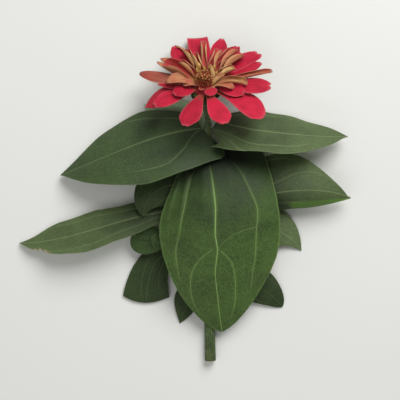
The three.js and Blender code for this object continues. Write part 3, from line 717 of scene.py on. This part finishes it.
LEAVES = {
    "leaf_upper_left": leaf_of(
        [(-3.1, 39.3, 9.6), (-25.4, 34.6, 17), (-51.6, 25.2, 15.5), (-81, 14, 3.4)],
        half(25.5, 0.84, 0, -22, 7.6),
        half(20.8, 0.45, 10, -20),
        large=True, face=(0, 0.66, 0.75), face_tip=(0.1, 0.6, 0.8), shade=0.24, wave=0.5, tone="upper",
        laterals={
            "left": [
                (0, 0.05), (0.07, 0.12), (0.147, 0.28), (0.2, 0.46),
                (0.27, 0.6), (0.34, 0.7), (0.42, 0.73), (0.58, 0.65),
            ],
            "right": [(0, 0.35), (0.17, 0.6), (0.35, 0.66), (0.47, 0.82), (0.56, 0.9)],
        },
    ),
    "leaf_upper_right": leaf_of(
        [(3.2, 39.5, 9.8), (28.2, 37.6, 17), (53.4, 35.2, 14.5), (77.4, 35.2, 7)],
        half(20, 0.6, 8, -16),
        half(17, 0.88, 0, -16, -7),
        large=True, face=(0, 0.76, 0.65), drift=[(0, 5.5), (0.1, 3.6), (0.2, 1.6), (0.3, 0.2), (1, 0)],
        wave=0.5, phase=2, tone="side",
        hollows=[("left", 0.52, 0.19, 3.2), ("right", 0.8, 0.14, 1.6), ("right", 0.45, 0.16, 1.4)],
        laterals={
            "left": [(0, 0.75), (0.12, 0.8), (0.4, 0.8), (0.5, 0.82)],
            "right": [(0, 0.05), (0.155, 0.37), (0.24, 0.65), (0.35, 0.7), (0.48, 0.67), (0.7, 0.6)],
        },
        branches={"right": [(0, 0.1), (0.05, 0.36), (0.12, 0.7), (0.2, 0.96), (0.36, 1.1)]},
    ),
    "leaf_front": leaf_of(
        [(0.2, 25.6, 11.4), (4.2, -7, 27), (5.4, -39.5, 22), (8.4, -72.6, 5.8)],
        half(36.6, 0.85, -3, -24, 5),
        half(32, 0.45, -3, -27),
        large=True, face=(0, 0, 1), face_tip=(0, -0.2, 1), shade=0.76, bold=1.2, net=0.46, second=0.44,
        peak=0.44, point=0.68, wave=0.4, phase=1, tone="front",
        laterals={
            "left": [
                (0, 0.22), (0.12, 0.47), (0.22, 0.58), (0.31, 0.65),
                (0.42, 0.62), (0.54, 0.6), (0.66, 0.63), (0.8, 0.72),
            ],
            "right": [
                (0, 0.32), (0.1, 0.5), (0.2, 0.56), (0.32, 0.56),
                (0.42, 0.61), (0.52, 0.7), (0.6, 0.74), (0.72, 0.82),
            ],
        },
        branches={
            "left": [
                (0.535, 0), (0.55, 0.11), (0.58, 0.18), (0.62, 0.26),
                (0.72, 0.34), (0.83, 0.42), (0.95, 0.5),
            ],
            "right": [
                (0.535, 0), (0.55, 0.16), (0.575, 0.27), (0.61, 0.37),
                (0.665, 0.5), (0.8, 0.7), (0.9, 0.8),
            ],
        },
        bridge=[(0, 0.535), (0.12, 0.49), (0.26, 0.455), (0.42, 0.435), (0.62, 0.42)],
        drift=[(0, 0), (0.3, 0.5), (0.45, -0.4), (0.535, 0.7), (0.66, -1.1), (0.82, -0.2), (1, 0)],
        pleats=[
            ("right", 0.2, 2.2, 0.5), ("right", 0.62, 1.4, 0.8),
            ("right", 0.86, 1.2, 0.8), ("left", 0.3, 3, 0.4),
        ],
    ),
    "leaf_back": leaf_of(
        [(-0.6, 24, 3.6), (-11, 36, 1), (-22, 45.5, 0.5), (-35, 53, 0.55)],
        half(12, 0.25),
        half(16, 0.25),
        flat=True, tone="back",
    ),
    "leaf_middle_left": leaf_of(
        [(-2.75, -5, 6), (-37, -9.2, 9.4), (-70.5, -18.6, 8.8), (-104, -24, 1.5)],
        half(12.5, 0.1, 4, -10),
        half(11, 0.3, 12, -8),
        large=True, face=(0, 0.6, 0.8), bite=("left", 0.87, 0.035, 2.2), second=0.3, shade=0.56,
        dusk=0.72, peak=0.64, wave=0.6, waves=4, tone="side",
    ),
    "leaf_middle_right": leaf_of(
        [(4.6, -4.6, 6.2), (28, 2, 13), (54, 5.4, 16.5), (79.4, 1.1, 7.4)],
        half(23, 0.3, -2, -18),
        half(12.8, 0.4, -18, -60, peak=0.62),
        large=True, face=(0, 0.2, 0.98), turned=0.52, shade=0.72, dusk=1.02,
        hollows=[("left", 0.84, 0.15, 4.4)], peak=0.5, wave=0.5, phase=3, tone="side",
        laterals={
            "left": [
                (0.2, 0.05), (0.3, 0.12), (0.45, 0.24), (0.53, 0.31), (0.64, 0.5), (0.74, 0.7), (0.86, 0.9),
            ],
            "right": [(0, 0.3), (0.4, 0.5), (0.7, 0.5)],
        },
        branches={"left": [(0.28, 0.55), (0.34, 0.7), (0.39, 0.8), (0.43, 0.86), (0.5, 0.86), (0.62, 0.82)]},
    ),
    "leaf_small_left": leaf_of(
        [(-2.9, 8.4, 7.2), (-20, 8, 12), (-31, 1.5, 13.4), (-34.6, -9, 12)],
        half(9, 0.2, -4, -12),
        half(13, 0.2, -4, -16),
        tone="shaded",
    ),
    "leaf_lower_left": leaf_of(
        [(-3.0, -25.3, 4.8), (-21.5, -28.5, 3.4), (-31, -40, 3.4), (-33.5, -57.2, 1.6)],
        half(15, 0.12, -1, -5),
        half(15.5, 0.14, -1, -5),
        face=(0, 0.1, 1), second=0.8, peak=1.6, blunt=3.2, tone="shaded",
        laterals={
            "left": [(0, 0.1), (0.4, 0.4), (0.9, 0.55)],
            "right": [(0.1, 0.7), (0.5, 0.5), (0.75, 0.33), (0.9, 0.27), (1, 0.25)],
        },
    ),
    "leaf_lower_right": leaf_of(
        [(4.8, -26, 4.8), (19, -20, 6.2), (36, -16.5, 5.4), (52.5, -28, 0.8)],
        half(17.5, 0.12, -4, -8),
        half(15.5, 0.12, -4, -14),
        face=(0, 0.1, 1), tone="open",
    ),
    "leaf_base_left": leaf_of(
        [(-3, -45.4, 3.9), (-9, -52.5, 4.4), (-12, -60, 3.4), (-15, -68.5, 0.8)],
        half(6.6, 0.12, -2, -14),
        half(8, 0.12, -2, -14),
        tone="shaded",
    ),
    "leaf_base_right": leaf_of(
        [(4.95, -44, 4), (16, -43.5, 5.2), (29.5, -48.5, 4.2), (42, -59.5, 0.8)],
        half(12, 0.15, -2, -16),
        half(11, 0.15, -2, -14),
        point=0.6, tone="shaded",
    ),
}

# A short side shoot: its stalk, and leaves with their tip, the rise of their midrib and their half width.
SHOOT_STALK = [(-2.4, -12.6, 5.2), (-14, -15.5, 7.5), (-26, -17.5, 8.6)]
SHOOT_LEAVES = [
    {"tip": (-41.5, -26.4, 6), "rise": 1, "width": 8.2, "point": 0.5},
    {"tip": (-42, -18, 8.2), "rise": 1, "width": 4},
    {"tip": (-28, -28.5, 8.6), "rise": 1.6, "width": 3.6},
    {"tip": (-27, -24, 10.6), "rise": 1, "width": 2.2},
]


def shoot_leaf(index, tip, rise, width, point=0.9):
    """A young leaf from the end of the stalk, each rooted a little further out than the one before."""
    end, tip = vec(*SHOOT_STALK[-1]), vec(*tip)
    up = vec(0, 0, rise)
    root = end + (tip - end) * 0.02 * (index + 1)
    midrib = [root, end + (tip - end) / 3 + up, end + (tip - end) * 2 / 3 + up, tip]
    side = half(width, 0.4, 6, -8)
    return leaf_of(midrib, side, side, point=point, rib=0.3, tone="young")


# The stem: points along it, with the radius and the height of the swelling at each.

STEM = [
    ((2, -89, 3), 3.0, 0),
    ((1.4, -66, 3.2), 2.8, 0),
    ((1, -44, 3.8), 2.8, 0.7),
    ((0.8, -25, 4.6), 2.7, 0.7),
    ((0.6, -5, 5.6), 2.6, 0.8),
    ((0.2, 9, 6.2), 2.5, 0.2),
    ((0, 24, 7.1), 2.5, 0.7),
    ((0.4, 39.5, 9.4), 2, 0.5),
    ((0, 47.5, 12.2), 1.5, 0),
]
STEM_SIDES, STEM_HAIRS = 40, 3200
NECK_END, NECK_RADIUS, NECK_BEND = -8.6, 3.2, 3.2
tilt = np.radians(BLOOM_TILT)
bloom_axis = vec(0, np.cos(tilt), np.sin(tilt))


def smooth_line(points, count):
    """A smooth curve through points, whose speed follows the root of the distance between them."""
    points = np.array(points, float)
    points = np.vstack([2 * points[0] - points[1], points, 2 * points[-1] - points[-2]])
    steps = np.linalg.norm(np.diff(points, axis=0), axis=1) ** 0.5
    result = []
    segments = len(points) - 3
    for place in np.linspace(0, segments, count):
        i = min(int(place), segments - 1)
        u = place - i
        p0, p1, p2, p3 = points[i : i + 4]
        d0, d1, d2 = steps[i : i + 3]
        start = ((p1 - p0) / d0 - (p2 - p0) / (d0 + d1) + (p2 - p1) / d1) * d1
        end = ((p2 - p1) / d1 - (p3 - p1) / (d1 + d2) + (p3 - p2) / d2) * d1
        a = 2 * p1 - 2 * p2 + start + end
        b = -3 * p1 + 3 * p2 - 2 * start - end
        result.append(a * u**3 + b * u**2 + start * u + p1)
    return np.array(result)


def stem_line(count=320):
    """The stem's middle line and its radius, up to where it meets the cup."""
    base = BLOOM_CENTRE + bloom_axis * NECK_END
    joints = [*STEM, (base - NECK_BEND * bloom_axis, 1.7, 0), (base, NECK_RADIUS, 0)]
    line = smooth_line([joint[0] for joint in joints], count)
    place = np.linspace(0, len(joints) - 1, count)
    i = np.minimum(place.astype(int), len(joints) - 2)
    sizes = np.array([joint[1] for joint in joints])
    share = smoothstep(place - i, 0, 1)
    radius = sizes[i] * (1 - share) + sizes[i + 1] * share
    for centre, _, swell in joints:
        radius += swell * bell(np.linalg.norm(line - vec(*centre), axis=1), 2.6)
    return line, radius


def make_stem():
    """The ribbed stem, with a slightly hollow cut end."""
    line, radius = stem_line()
    along = unit(np.gradient(line, axis=0))
    side = unit(vec(1, 0, 0) - along * along[:, :1])
    turn, ring = ring_directions(side, np.cross(along, side), STEM_SIDES)
    height = np.arange(len(line))[:, None] / 18
    uneven = 1 + 0.025 * np.cos(8 * turn) + 0.02 * ripple(np.cos(turn) * 2, height, 5)
    wall = line[:, None] + ring * (radius[:, None] * uneven)[..., None]
    # Rings of the cut face: share of the radius, depth of the dent, and how much they show the pale cut.
    rings = [(0.02, 0.5, 1), (0.35, 0.45, 1), (0.7, 0.2, 1), (0.86, 0.0, 0.8), (0.97, -0.15, 0.3)]
    cap = [line[0] + (wall[0] - line[0]) * share + along[0] * dent for share, dent, _ in rings]
    points = np.concatenate([np.array(cap), wall])
    cut = np.concatenate([[pale for _, _, pale in rings], np.zeros(len(line))])
    tone = stack(cut[:, None], turn, 0)
    body = Body()
    body.add(points.reshape(-1, 3), tube_faces(len(points), STEM_SIDES), tone=tone.reshape(-1, 3))
    add_stem_hairs(body, wall, ring, along)
    body.make("stem_with_hairs", "stem", stem_material())


def add_stem_hairs(body, wall, ring, along):
    """Spreading hairs, without those that would grow into the surface below."""
    count = STEM_HAIRS
    i = rng.integers(3, len(wall) - 6, count)
    j = rng.integers(0, STEM_SIDES, count)
    shift = rng.random(count)[:, None]
    k = (j + 1) % STEM_SIDES
    roots = wall[i, j] * (1 - shift) + wall[i, k] * shift
    ways = unit(ring[i, j] + 0.45 * along[i] + rng.normal(0, 0.18, (count, 3)))
    above = roots[:, 2] > 0.9
    lengths = rng.uniform(0.6, 1.5, count)
    tone = np.tile(vec(0, 0, 1), (above.sum(), 1))
    add_hairs(body, roots[above], ways[above], lengths[above], 0.055, tone=tone)


def make_shoot():
    line = smooth_line(SHOOT_STALK, 50)
    body = Body()
    tone = np.zeros((len(line), 3))
    add_tube(body, line, 1.2 - 0.3 * np.linspace(0, 1, len(line)), 14, tone=tone)
    body.make("side_shoot_stalk", "side_shoot", stem_material())
    for index, shape in enumerate(SHOOT_LEAVES):
        make_leaf(f"side_shoot_leaf_{index + 1}", shoot_leaf(index, **shape), "side_shoot")


# The bloom. Its parts are built round Z, in millimetres from BLOOM_CENTRE, and then tilted. The turned bodies
# that hold it together are in (radius, height), and the roots of its petals too.

TURNED_SIDES = 48
CUP = [[3.8, -8.2], [5.1, -6.4], [6.8, -3.8], [7.4, -1.6]]
OUTER_CORE = [[5.4, -1.2], [6.5, -0.4], [6.3, 0.7], [5, 1.5]]
INNER_CORE = [[3.9, 1.9], [4.6, 2.4], [4.5, 3.3], [3.7, 4.2]]
DISC_CORE = [[2.8, 4.6], [3.1, 5], [2.8, 5.8], [1.8, 6.4], [0.9, 6.6]]
OUTER_ROOT, SECOND_ROOT, INNER_ROOT = (5.4, 0.2), (4.8, 1), (3.9, 2.9)


def tilted(points):
    """Points of the upright bloom, put where it stands on the stem."""
    x, y, z = np.moveaxis(points, -1, 0)
    return stack(x, *turned(y, z, tilt - np.pi / 2)) + BLOOM_CENTRE


def section(a, angle):
    """Sideways and upward travel along each row of distances from the middle line, at the given angles."""
    step = np.diff(a, axis=1)
    middle = (angle[:, 1:] + angle[:, :-1]) / 2
    start = np.zeros((len(a), 1))
    out = np.hstack([start, np.cumsum(step * np.cos(middle), axis=1)])
    lift = np.hstack([start, np.cumsum(step * np.sin(middle), axis=1)])
    centre = a.shape[1] // 2
    return out - out[:, centre : centre + 1], lift - lift[:, centre : centre + 1]


def petal_grid(petal, root, rows, columns, start=0):
    """The middle surface of a petal in the upright bloom, with its places t along and s across."""
    root_out, root_up = root
    get = petal.get
    width, roll, sway = petal["width"], get("roll", 0), get("sway", 0)
    claw, peak, tip = get("claw", 0.22), get("peak", 0.68), get("tip", 0.5)
    angle = np.radians(petal["angle"])
    radial = vec(np.cos(angle), np.sin(angle), 0)
    sideways = vec(-radial[1], radial[0], 0)

    # The middle line is an arc from the root to the tip, swayed to one side.
    bend = np.radians(get("arch", 24))
    rise, run = petal["up"] - root_up, petal["out"] - root_out
    middle = np.arctan2(rise, run)
    length = np.hypot(rise, run) * (bend / 2) / np.sin(bend / 2)
    t, s = blade_places(rows, columns, PETAL_CROWDING, start)
    share = np.abs(s)
    reach = t * (1 - get("round", 0.1) * share**2.6 - get("notch", 0.04) * bell(s, 0.24))
    slope = middle + bend / 2 - bend * reach
    outward = length * (np.sin(middle + bend / 2) - np.sin(slope)) / bend
    upward = length * (np.cos(slope) - np.cos(middle + bend / 2)) / bend
    point = radial * (root_out + outward)[..., None] + vec(*UP) * (root_up + upward)[..., None]
    point = point + sideways * (sway * reach**2)[..., None]
    turn = (np.radians(roll) * reach)[..., None]
    face = -radial * np.sin(slope)[..., None] + vec(*UP) * np.cos(slope)[..., None]
    face, across = turned(face, sideways, turn)

    # The width grows from the claw and closes round the tip.
    rising = claw + (1 - claw) * np.sin(np.pi / 2 * np.clip(t / peak, 0, 1)) ** 2
    ending = np.clip((t - peak) / (1 - peak), 0, 1) ** 2.5
    full = np.where(t < peak, rising, np.sqrt(1 - (1 - tip**2) * ending))
    closing = get("curl", 1.0)
    a = width * closing * full * s

    # The section cups or rolls, folds at a margin and crimps.
    curve = np.radians(get("cup", 12)) / (2 * width) * smoothstep(t, 0, 0.4)
    bent = curve * a
    for side, begin, fold in get("folds", ()):
        beyond = smoothstep(side * s, begin - 0.07, begin + 0.07)
        bent = bent + side * np.radians(fold) * beyond * smoothstep(t, 0.1, 0.4)
    aside, lift = section(a, bent)
    seed = int(petal["angle"] * 10) + 3
    crimp = get("crimp", 0.45) * share**2 * smoothstep(t, 0.15, 0.6)
    lift = lift + crimp * ripple(reach * length / 5, s * 0.8, seed)
    point = point + across * aside[..., None] + face * lift[..., None]
    return {"points": point, "t": t, "s": s, "length": length, "width": width * closing, "seed": seed}


def add_petal(body, petal, root, rows=46, columns=27):
    """One petal with fine furrows along it."""
    grid = petal_grid(petal, root, rows, columns)
    t, s, width = grid["t"], grid["s"], grid["width"]
    furrow = 0.05 * np.sin(s * width * 2.4 + 0.6 * ripple(t * 4, s, grid["seed"]))
    furrow = furrow * smoothstep(np.abs(s), 1.0, 0.8)
    skin = PETAL_THICKNESS / 2 * (0.5 + 0.5 * (1 - np.abs(s) ** 8))
    draw = grid["seed"] % 17 / 17
    glow = petal.get("glow", 0.6)
    values = {
        "blade": stack(t, s, grid["length"]),
        "tone": stack(draw + 0 * t, petal.get("tan", 0.3), petal.get("over", 0)),
        "side": (stack(1 + 0 * t, glow, width), stack(0 * t, glow, width)),
    }
    add_blade(body, tilted(grid["points"]), skin + furrow, skin - furrow, **values)


def add_turned(body, profile, **values):
    """A turned body of the upright bloom, round its own axis."""
    line = [[0.05, profile[0][1]], *profile, [0.05, profile[-1][1]]]
    turn = np.linspace(0, 2 * np.pi, TURNED_SIDES, endpoint=False)
    points = tilted(np.concatenate([stack(r * np.cos(turn), r * np.sin(turn), z) for r, z in line]))
    values = {name: value[None] for name, value in values.items()}
    body.add(points, tube_faces(len(line), TURNED_SIDES), len(points), **values)


def petal_of(angle, out, up, width, **more):
    """Puts together the values of one petal."""
    return {"angle": angle, "out": out, "up": up, "width": width, **more}


def rolled(angle, out, up, width, tan, **more):
    """Puts together the values of a petal that is rolled with its underside outwards."""
    return petal_of(angle, out, up, width, **{"tan": tan, **ROLLED, **more})


# Petals, anticlockwise from +X. out and up place the tip, and width is half the width. cup is the arc of the
# section and arch how much steeper the petal starts than it ends, in degrees. roll turns the petal about its
# length, and sway bends its tip sideways. claw is the share of the width at the root, peak the place where
# the petal is widest, tip how blunt it ends, round and notch what the corners and the middle of the tip lose,
# and crimp how uneven the margins are. curl above 1 closes a rolled petal further. A fold turns one margin
# (side, share of the half width, degrees). glow goes from deep to bright pink, tan from salmon to olive-tan
# on the underside, and over gives the upper face the underside's colour.
ROLLED = {"cup": 200, "arch": 30, "curl": 1.5, "over": 0.15}
DROOPING = {"arch": 36, "cup": -14, "notch": 0.02, "claw": 0.3, "peak": 0.8, "tip": 0.6, "crimp": 0.2}
OUTER_PETALS = [
    petal_of(13.9, 37.9, 4.6, 3, cup=250, arch=14, roll=30, tip=0.4, curl=1.15, tan=0.2, over=0.8),
    petal_of(28.5, 34.4, 5.4, 4.8, arch=14, tip=0.35, sway=-1.7),
    petal_of(47, 36.4, 6.8, 5.4, arch=16, cup=-16, tip=0.8, sway=-6.8, crimp=0.25),
    petal_of(57, 33.3, 7, 5.6, arch=20, cup=20, roll=-14, folds=[(1, 0.7, 70)]),
    petal_of(69, 35.6, 7.4, 4.8, arch=20, cup=24, tip=0.4, sway=3.4, crimp=0.25),
    petal_of(85, 26, 4.6, 5.2, arch=16, cup=16),
    petal_of(97, 35.6, 6.6, 6, arch=18, cup=20, round=0, tip=0.95, notch=0),
    petal_of(121, 34.4, 6, 6.2, arch=20, cup=18, tip=0.3, folds=[(-1, 0.6, 140)], tan=0.7),
    petal_of(146, 31, 5.4, 5, arch=18, cup=60, tip=0.7, notch=0.16, over=0.75, tan=0.6),
    petal_of(
        164.5, 36, 4.4, 4.9, arch=16, cup=-50, tip=0.6, notch=0, over=0.9, tan=0.1, peak=0.6, glow=0, sway=2.6
    ),
    petal_of(178, 25.6, 2.4, 4.2, arch=16),
    # Its low glow darkens it where it lies under the petal at 204 degrees: painted shade.
    petal_of(189, 33.6, -2.6, 6.8, glow=0.05, arch=34, cup=-16, tip=0.2, notch=0, sway=8),
    petal_of(204, 31, -0.4, 5.6, arch=30, cup=-16, sway=2, glow=1),
    petal_of(252.5, 30.4, -2.4, 5.5, glow=0.35, sway=-1.6, **DROOPING),
    petal_of(287.5, 28.6, -2.4, 5.7, glow=1, sway=2, **DROOPING),
    petal_of(337, 36.4, -3, 8.1, arch=30, cup=-18, tip=0.7, notch=0, sway=-6, glow=1, claw=0.3, peak=0.78),
    petal_of(358, 35.6, 2.4, 6.6, cup=-16, tip=0.7, peak=0.74),
]
SECOND_PETALS = [
    petal_of(209, 19.6, 3.8, 4.9, arch=36, sway=0.6),
    petal_of(340, 22.6, 2.8, 4.6, arch=36, glow=1, roll=20, crimp=0.2),
]
INNER_PETALS = [
    rolled(354, 23, 5, 2.9, 0.8, arch=44, roll=16, over=0.9, curl=1.4),
    rolled(335, 9, 8, 2.6, 0.9, cup=220, arch=40, sway=5.2, curl=1.3, over=0.9),
    petal_of(338, 16.6, 5, 3.2, cup=110, arch=44, over=0.9),
    rolled(25, 18, 7.4, 3, 1, arch=34, curl=1.65, over=0.7),
    rolled(41.6, 27.8, 8, 4, 0.45, arch=34, curl=1.65),
    rolled(51, 27.4, 9.4, 3.8, 0.4, arch=34, roll=-16, curl=1.6),
    rolled(69, 22, 10.4, 3.4, 0.5, cup=220),
    rolled(92, 29.6, 9.6, 2.4, 1, arch=24),
    rolled(112, 17.6, 11.4, 3, 0.9, cup=210, arch=26),
    rolled(119, 24.4, 9.4, 3, 0.8, cup=220, arch=34, roll=14),
    rolled(143, 18.2, 9.6, 2.6, 0.8, cup=220),
    rolled(153, 25.6, 7.6, 4, 0.5, cup=160, roll=-20, over=0.2),
    petal_of(183, 21, 5.2, 4.8, cup=100, arch=40, tan=0.45, over=0.85),
    petal_of(200, 12.6, 5.4, 2.8, cup=120, arch=40, over=0.8),
    petal_of(291, 10.6, 2.7, 3.5, arch=84, claw=0.3, peak=0.7, glow=0.8, crimp=0.2),
    petal_of(250, 6.8, 3.6, 1.8, cup=60, arch=40, claw=0.5, over=0.5),
    petal_of(310, 7, 3.8, 1.8, cup=60, arch=40, claw=0.5, over=0.8, tan=0.2),
    rolled(10, 3.2, 12.8, 1.8, 1, cup=170, arch=-80, sway=4.4, curl=1.4, over=0.6),
]
# What the petal material reads on the cores, which hardly show between the petals.
CORE_VALUES = {"blade": vec(0.5, 0, 10), "tone": vec(0.4, 0, 0.25), "side": vec(1, 0.1, 1)}


def make_petals():
    body = Body()
    add_turned(body, OUTER_CORE, **CORE_VALUES)
    for petal in OUTER_PETALS:
        add_petal(body, petal, OUTER_ROOT)
    for petal in SECOND_PETALS:
        add_petal(body, petal, SECOND_ROOT)
    body.make("outer_petals_velvet", "outer_petals", petal_material("petal_pink"))
    body = Body()
    add_turned(body, INNER_CORE, **CORE_VALUES)
    for petal in INNER_PETALS:
        add_petal(body, petal, INNER_ROOT, rows=40, columns=29)
    body.make("inner_petals_rolled", "inner_petals", petal_material("petal_tan", rolled=True))


# Rows of bracts from the stem up: height and out place their roots, and lean is their slope in degrees.
BRACT_SHAPE = {"arch": -12, "cup": 50, "claw": 0.8, "peak": 0.4, "round": 0.2, "notch": 0, "crimp": 0.15}
BRACT_ROWS = [
    {"count": 6, "length": 5, "width": 2.8, "height": -7.6, "out": 3.6, "lean": 40, "turn": 9},
    {"count": 7, "length": 5.2, "width": 3.3, "height": -5.9, "out": 4.9, "lean": 48, "turn": 24},
    {"count": 8, "length": 4.4, "width": 3.3, "height": -4.6, "out": 5.9, "lean": 50, "turn": 8},
]


def add_bracts(body, count, length, width, height, out, lean, turn):
    """One row of bracts round the cup, each a little uneven."""
    for i in range(count):
        uneven = np.sin(5 * i + turn)
        root = (out - 0.2 * uneven, height + 0.2 * np.cos(7 * i))
        reach = length * (1 + 0.06 * uneven)
        rise = np.radians(lean + 3 * uneven)
        angle = turn + 360 / count * i + 3 * np.cos(7 * i)
        tip = (root[0] + reach * np.cos(rise), root[1] + reach * np.sin(rise))
        bract = petal_of(angle, *tip, width * (1 - 0.05 * uneven), **BRACT_SHAPE)
        grid = petal_grid(bract, root, 16, 13, start=0.05)
        t, s = grid["t"], grid["s"]
        skin = 0.3 * (1.2 - np.abs(s) ** 4) * (1 - 0.4 * t**3)
        add_blade(body, tilted(grid["points"]), skin, skin, tone=stack(t, s, 0))


def make_involucre():
    body = Body()
    add_turned(body, CUP, tone=vec(0, 0, 0))
    for row in BRACT_ROWS:
        add_bracts(body, **row)
    body.make("involucre_bracts", "involucre", bract_material())


SCALE_COUNT = FILAMENT_COUNT = 96
GOLDEN_ANGLE = 137.508
STAR_HEIGHT, STAR_REACH, STAR_TUBE, STAR_BOTTOM = 4.2, 1.725, 0.6, 5.4
# Open florets: angle, distance from the disc's axis and outward lean.
STARS = [(132, 1.7, 24), (92, 1.6, 22), (196, 1.8, 22), (262, 1.4, 16), (312, 1.9, 22)]
# Closed florets: the same, then the height of the root, the length and the radius.
BUDS = [
    (120, 4.6, 24, 5.0, 8.2, 1.4),
    (136, 4.4, 22, 4.8, 6.2, 0.8),
    (53, 4.8, 32, 4.6, 7.6, 1.1),
    (70, 4.4, 24, 4.8, 6.6, 0.8),
    (96, 4.4, 18, 4.8, 5.6, 0.8),
    (30, 4.6, 34, 4.4, 5.2, 0.75),
]


def on_disc(points, angle, out, lean, height):
    """Points that grow up Z, put on the disc, out from its axis and leaning outwards."""
    x, y, z = np.moveaxis(points, -1, 0)
    upward, outward = turned(z, x, np.radians(lean))
    return tilted(stack(*turned(outward + out, y, np.radians(angle)), upward + height))


def add_scale(body, angle, out, lean, height, length, radius, accent, dark):
    """One stiff pointed chaff scale, cupped round its floret."""
    t, s = blade_places(8, 5)
    width = radius * np.sqrt(np.clip(1 - t**2.6, 0, 1)) + 0.03
    x = 0.5 * width * s**2 - 0.2 + 0.5 * np.sin(3 * angle) * t**2
    place = on_disc(stack(-x, width * s, t * length), angle, out, lean, height)
    skin = 0.1 * (1.2 - t)
    tone = stack(accent * smoothstep(t, 0.6, 1.0), dark * (1 - 0.6 * t), 0)
    add_blade(body, place, skin, skin, tone=tone)


def add_filament(body, angle, out, lean, height, length, radius, bright):
    """One thread-like end of a floret, with a small knob."""
    z = np.linspace(0, 1, 8)
    bow = 0.7 * np.sin(2 * angle)
    line = on_disc(stack(bow * z**2, 0.5 * bow * z**2, z * length), angle, out, lean, height)
    radii = radius * (1 - 0.35 * z + 0.5 * bell(z - 0.95, 0.08))
    add_tube(body, line, radii, 6, tone=stack(bright + 0 * z, 0, 0))


def add_bud(body, angle, out, lean, height, length, radius):
    """A closed yellow-green floret: a slim tube that swells into an egg-shaped bud."""
    z = np.linspace(0, 1, 12)
    line = on_disc(stack(0, 0, z * length), angle, out, lean, height)
    radii = radius * (0.4 + 0.6 * bell(z - 0.72, 0.22)) * np.sqrt(np.clip(1.02 - z**6, 0, 1))
    add_tube(body, line, radii, 12, tone=stack(0.55, 0, 0.55 + 0.45 * z))


def add_star(body, angle, out, lean):
    """One open floret: a tube, five spreading pointed lobes and a forked style."""
    spot = (angle, out, lean, STAR_BOTTOM)
    z = np.linspace(0, 1, 6)
    line = on_disc(stack(0, 0, z * (STAR_HEIGHT - 0.6)), *spot)
    add_tube(body, line, STAR_TUBE * (0.75 + 0.25 * z), 12, tone=stack(0.6 + 0 * z, 0.1, 0))
    t, s = blade_places(8, 5)
    r = 0.35 + (STAR_REACH - 0.35) * np.sin(t * 1.35) / np.sin(1.35)
    up = STAR_HEIGHT - 0.7 + 0.9 * np.sin(t * 2.3) + 0.12 * s**2
    w = 0.42 * np.sqrt(np.clip(1 - t**2.4, 0, 1)) * s + 0.02 * s
    tone = stack(0.6 + 0.3 * t, 0.95 * smoothstep(t, 0.5, 0.2), 0)
    skin = 0.1 + 0 * t
    for k in range(5):
        lobe = stack(*turned(r, w, 2 * np.pi * k / 5 + angle), up)
        add_blade(body, on_disc(lobe, *spot), skin, skin, tone=tone)
    for side in (-1, 1):
        line = on_disc(stack(side * 0.5 * z**2, 0, STAR_HEIGHT - 1 + 1.6 * z), *spot)
        add_tube(body, line, 0.16 - 0.06 * z, 6, tone=stack(0.5 + 0 * z, 0.2, 0))


def disc_places(count, start):
    """Evenly spread places on the disc: a number, the share of the way to its rim and the fall of the rim."""
    for i in range(count):
        share = np.sqrt((i + start) / count)
        yield i, share, smoothstep(share, 0.6, 1.0)


def make_disc():
    body = Body()
    add_turned(body, DISC_CORE, tone=vec(0, 0.6, 0))
    for i, share, fall in disc_places(SCALE_COUNT, 0.5):
        height = 6.5 - 1.2 * share**2 - 1.6 * fall
        length = 3.8 * (0.85 + 0.2 * np.sin(5 * i))
        accent = 0.15 + 0.7 * (np.sin(3.1 * i) > 0.1)
        dark = 0.35 * (i % 3 == 1)
        add_scale(body, i * GOLDEN_ANGLE, 3.5 * share, 44 * share, height, length, 0.42, accent, dark)
    for i, share, fall in disc_places(FILAMENT_COUNT, 0.3):
        height = 6.2 - 1.2 * share**2 - 1.4 * fall
        length = rng.uniform(2.8, 4.3)
        bright = 0.2 + 0.7 * (np.sin(7.3 * i) > 0.1)
        add_filament(body, i * GOLDEN_ANGLE + 40, 3.6 * share, 42 * share, height, length, 0.13, bright)
    for star in STARS:
        add_star(body, *star)
    for bud in BUDS:
        add_bud(body, *bud)
    body.make("disc_scales_and_florets", "disc_florets", disc_material())


make_stem()
for leaf_name, leaf in LEAVES.items():
    make_leaf(leaf_name, leaf)
make_shoot()
make_petals()
make_involucre()
make_disc()


# The surface, the light and the camera.


def make_floor(half_side=1.5):
    corners = [(x * half_side, y * half_side, 0) for x, y in ((-1, -1), (1, -1), (1, 1), (-1, 1))]
    mesh = bpy.data.meshes.new("floor")
    mesh.from_pydata(corners, [], [[0, 1, 2, 3]])
    n = Nodes("floor_pale")
    place = n.object_place()
    colour = n.mix(n.noise(place, 3, 3), screen(224, 225, 220), screen(232, 232, 228))
    mesh.materials.append(n.finish(colour, 0.75, n.noise(place, 400, 3), 0.0001, 0.2, specular_ior_level=0.2))
    add_object("floor", mesh)


def area_light(name, place, size, power, target=(0, 0.03, 0)):
    light = bpy.data.lights.new(name, "AREA")
    light.shape = "DISK"
    light.size = size
    light.energy = power
    piece = add_object(name, light)
    piece.location = place
    piece.rotation_euler = (Vector(target) - piece.location).to_track_quat("-Z", "Y").to_euler()


make_floor()
area_light("window", (0.3, 0.6, 0.7), 0.7, 8.6)
area_light("fill", (-0.4, -0.5, 0.8), 1.0, 2.4)

world = bpy.data.worlds.new("room")
world.use_nodes = True
background = next(node for node in world.node_tree.nodes if node.type == "BACKGROUND")
background.inputs["Color"].default_value = (1, 1, 1, 1)
background.inputs["Strength"].default_value = 0.27
bpy.context.scene.world = world
bpy.context.scene.view_settings.view_transform = "Standard"

lens = bpy.data.cameras.new("camera")
lens.lens = 100
lens.sensor_width = 36
camera = add_object("camera", lens)
camera.location = (0.0085, -0.0009, 0.62)
bpy.context.scene.camera = camera

bpy.context.view_layer.update()
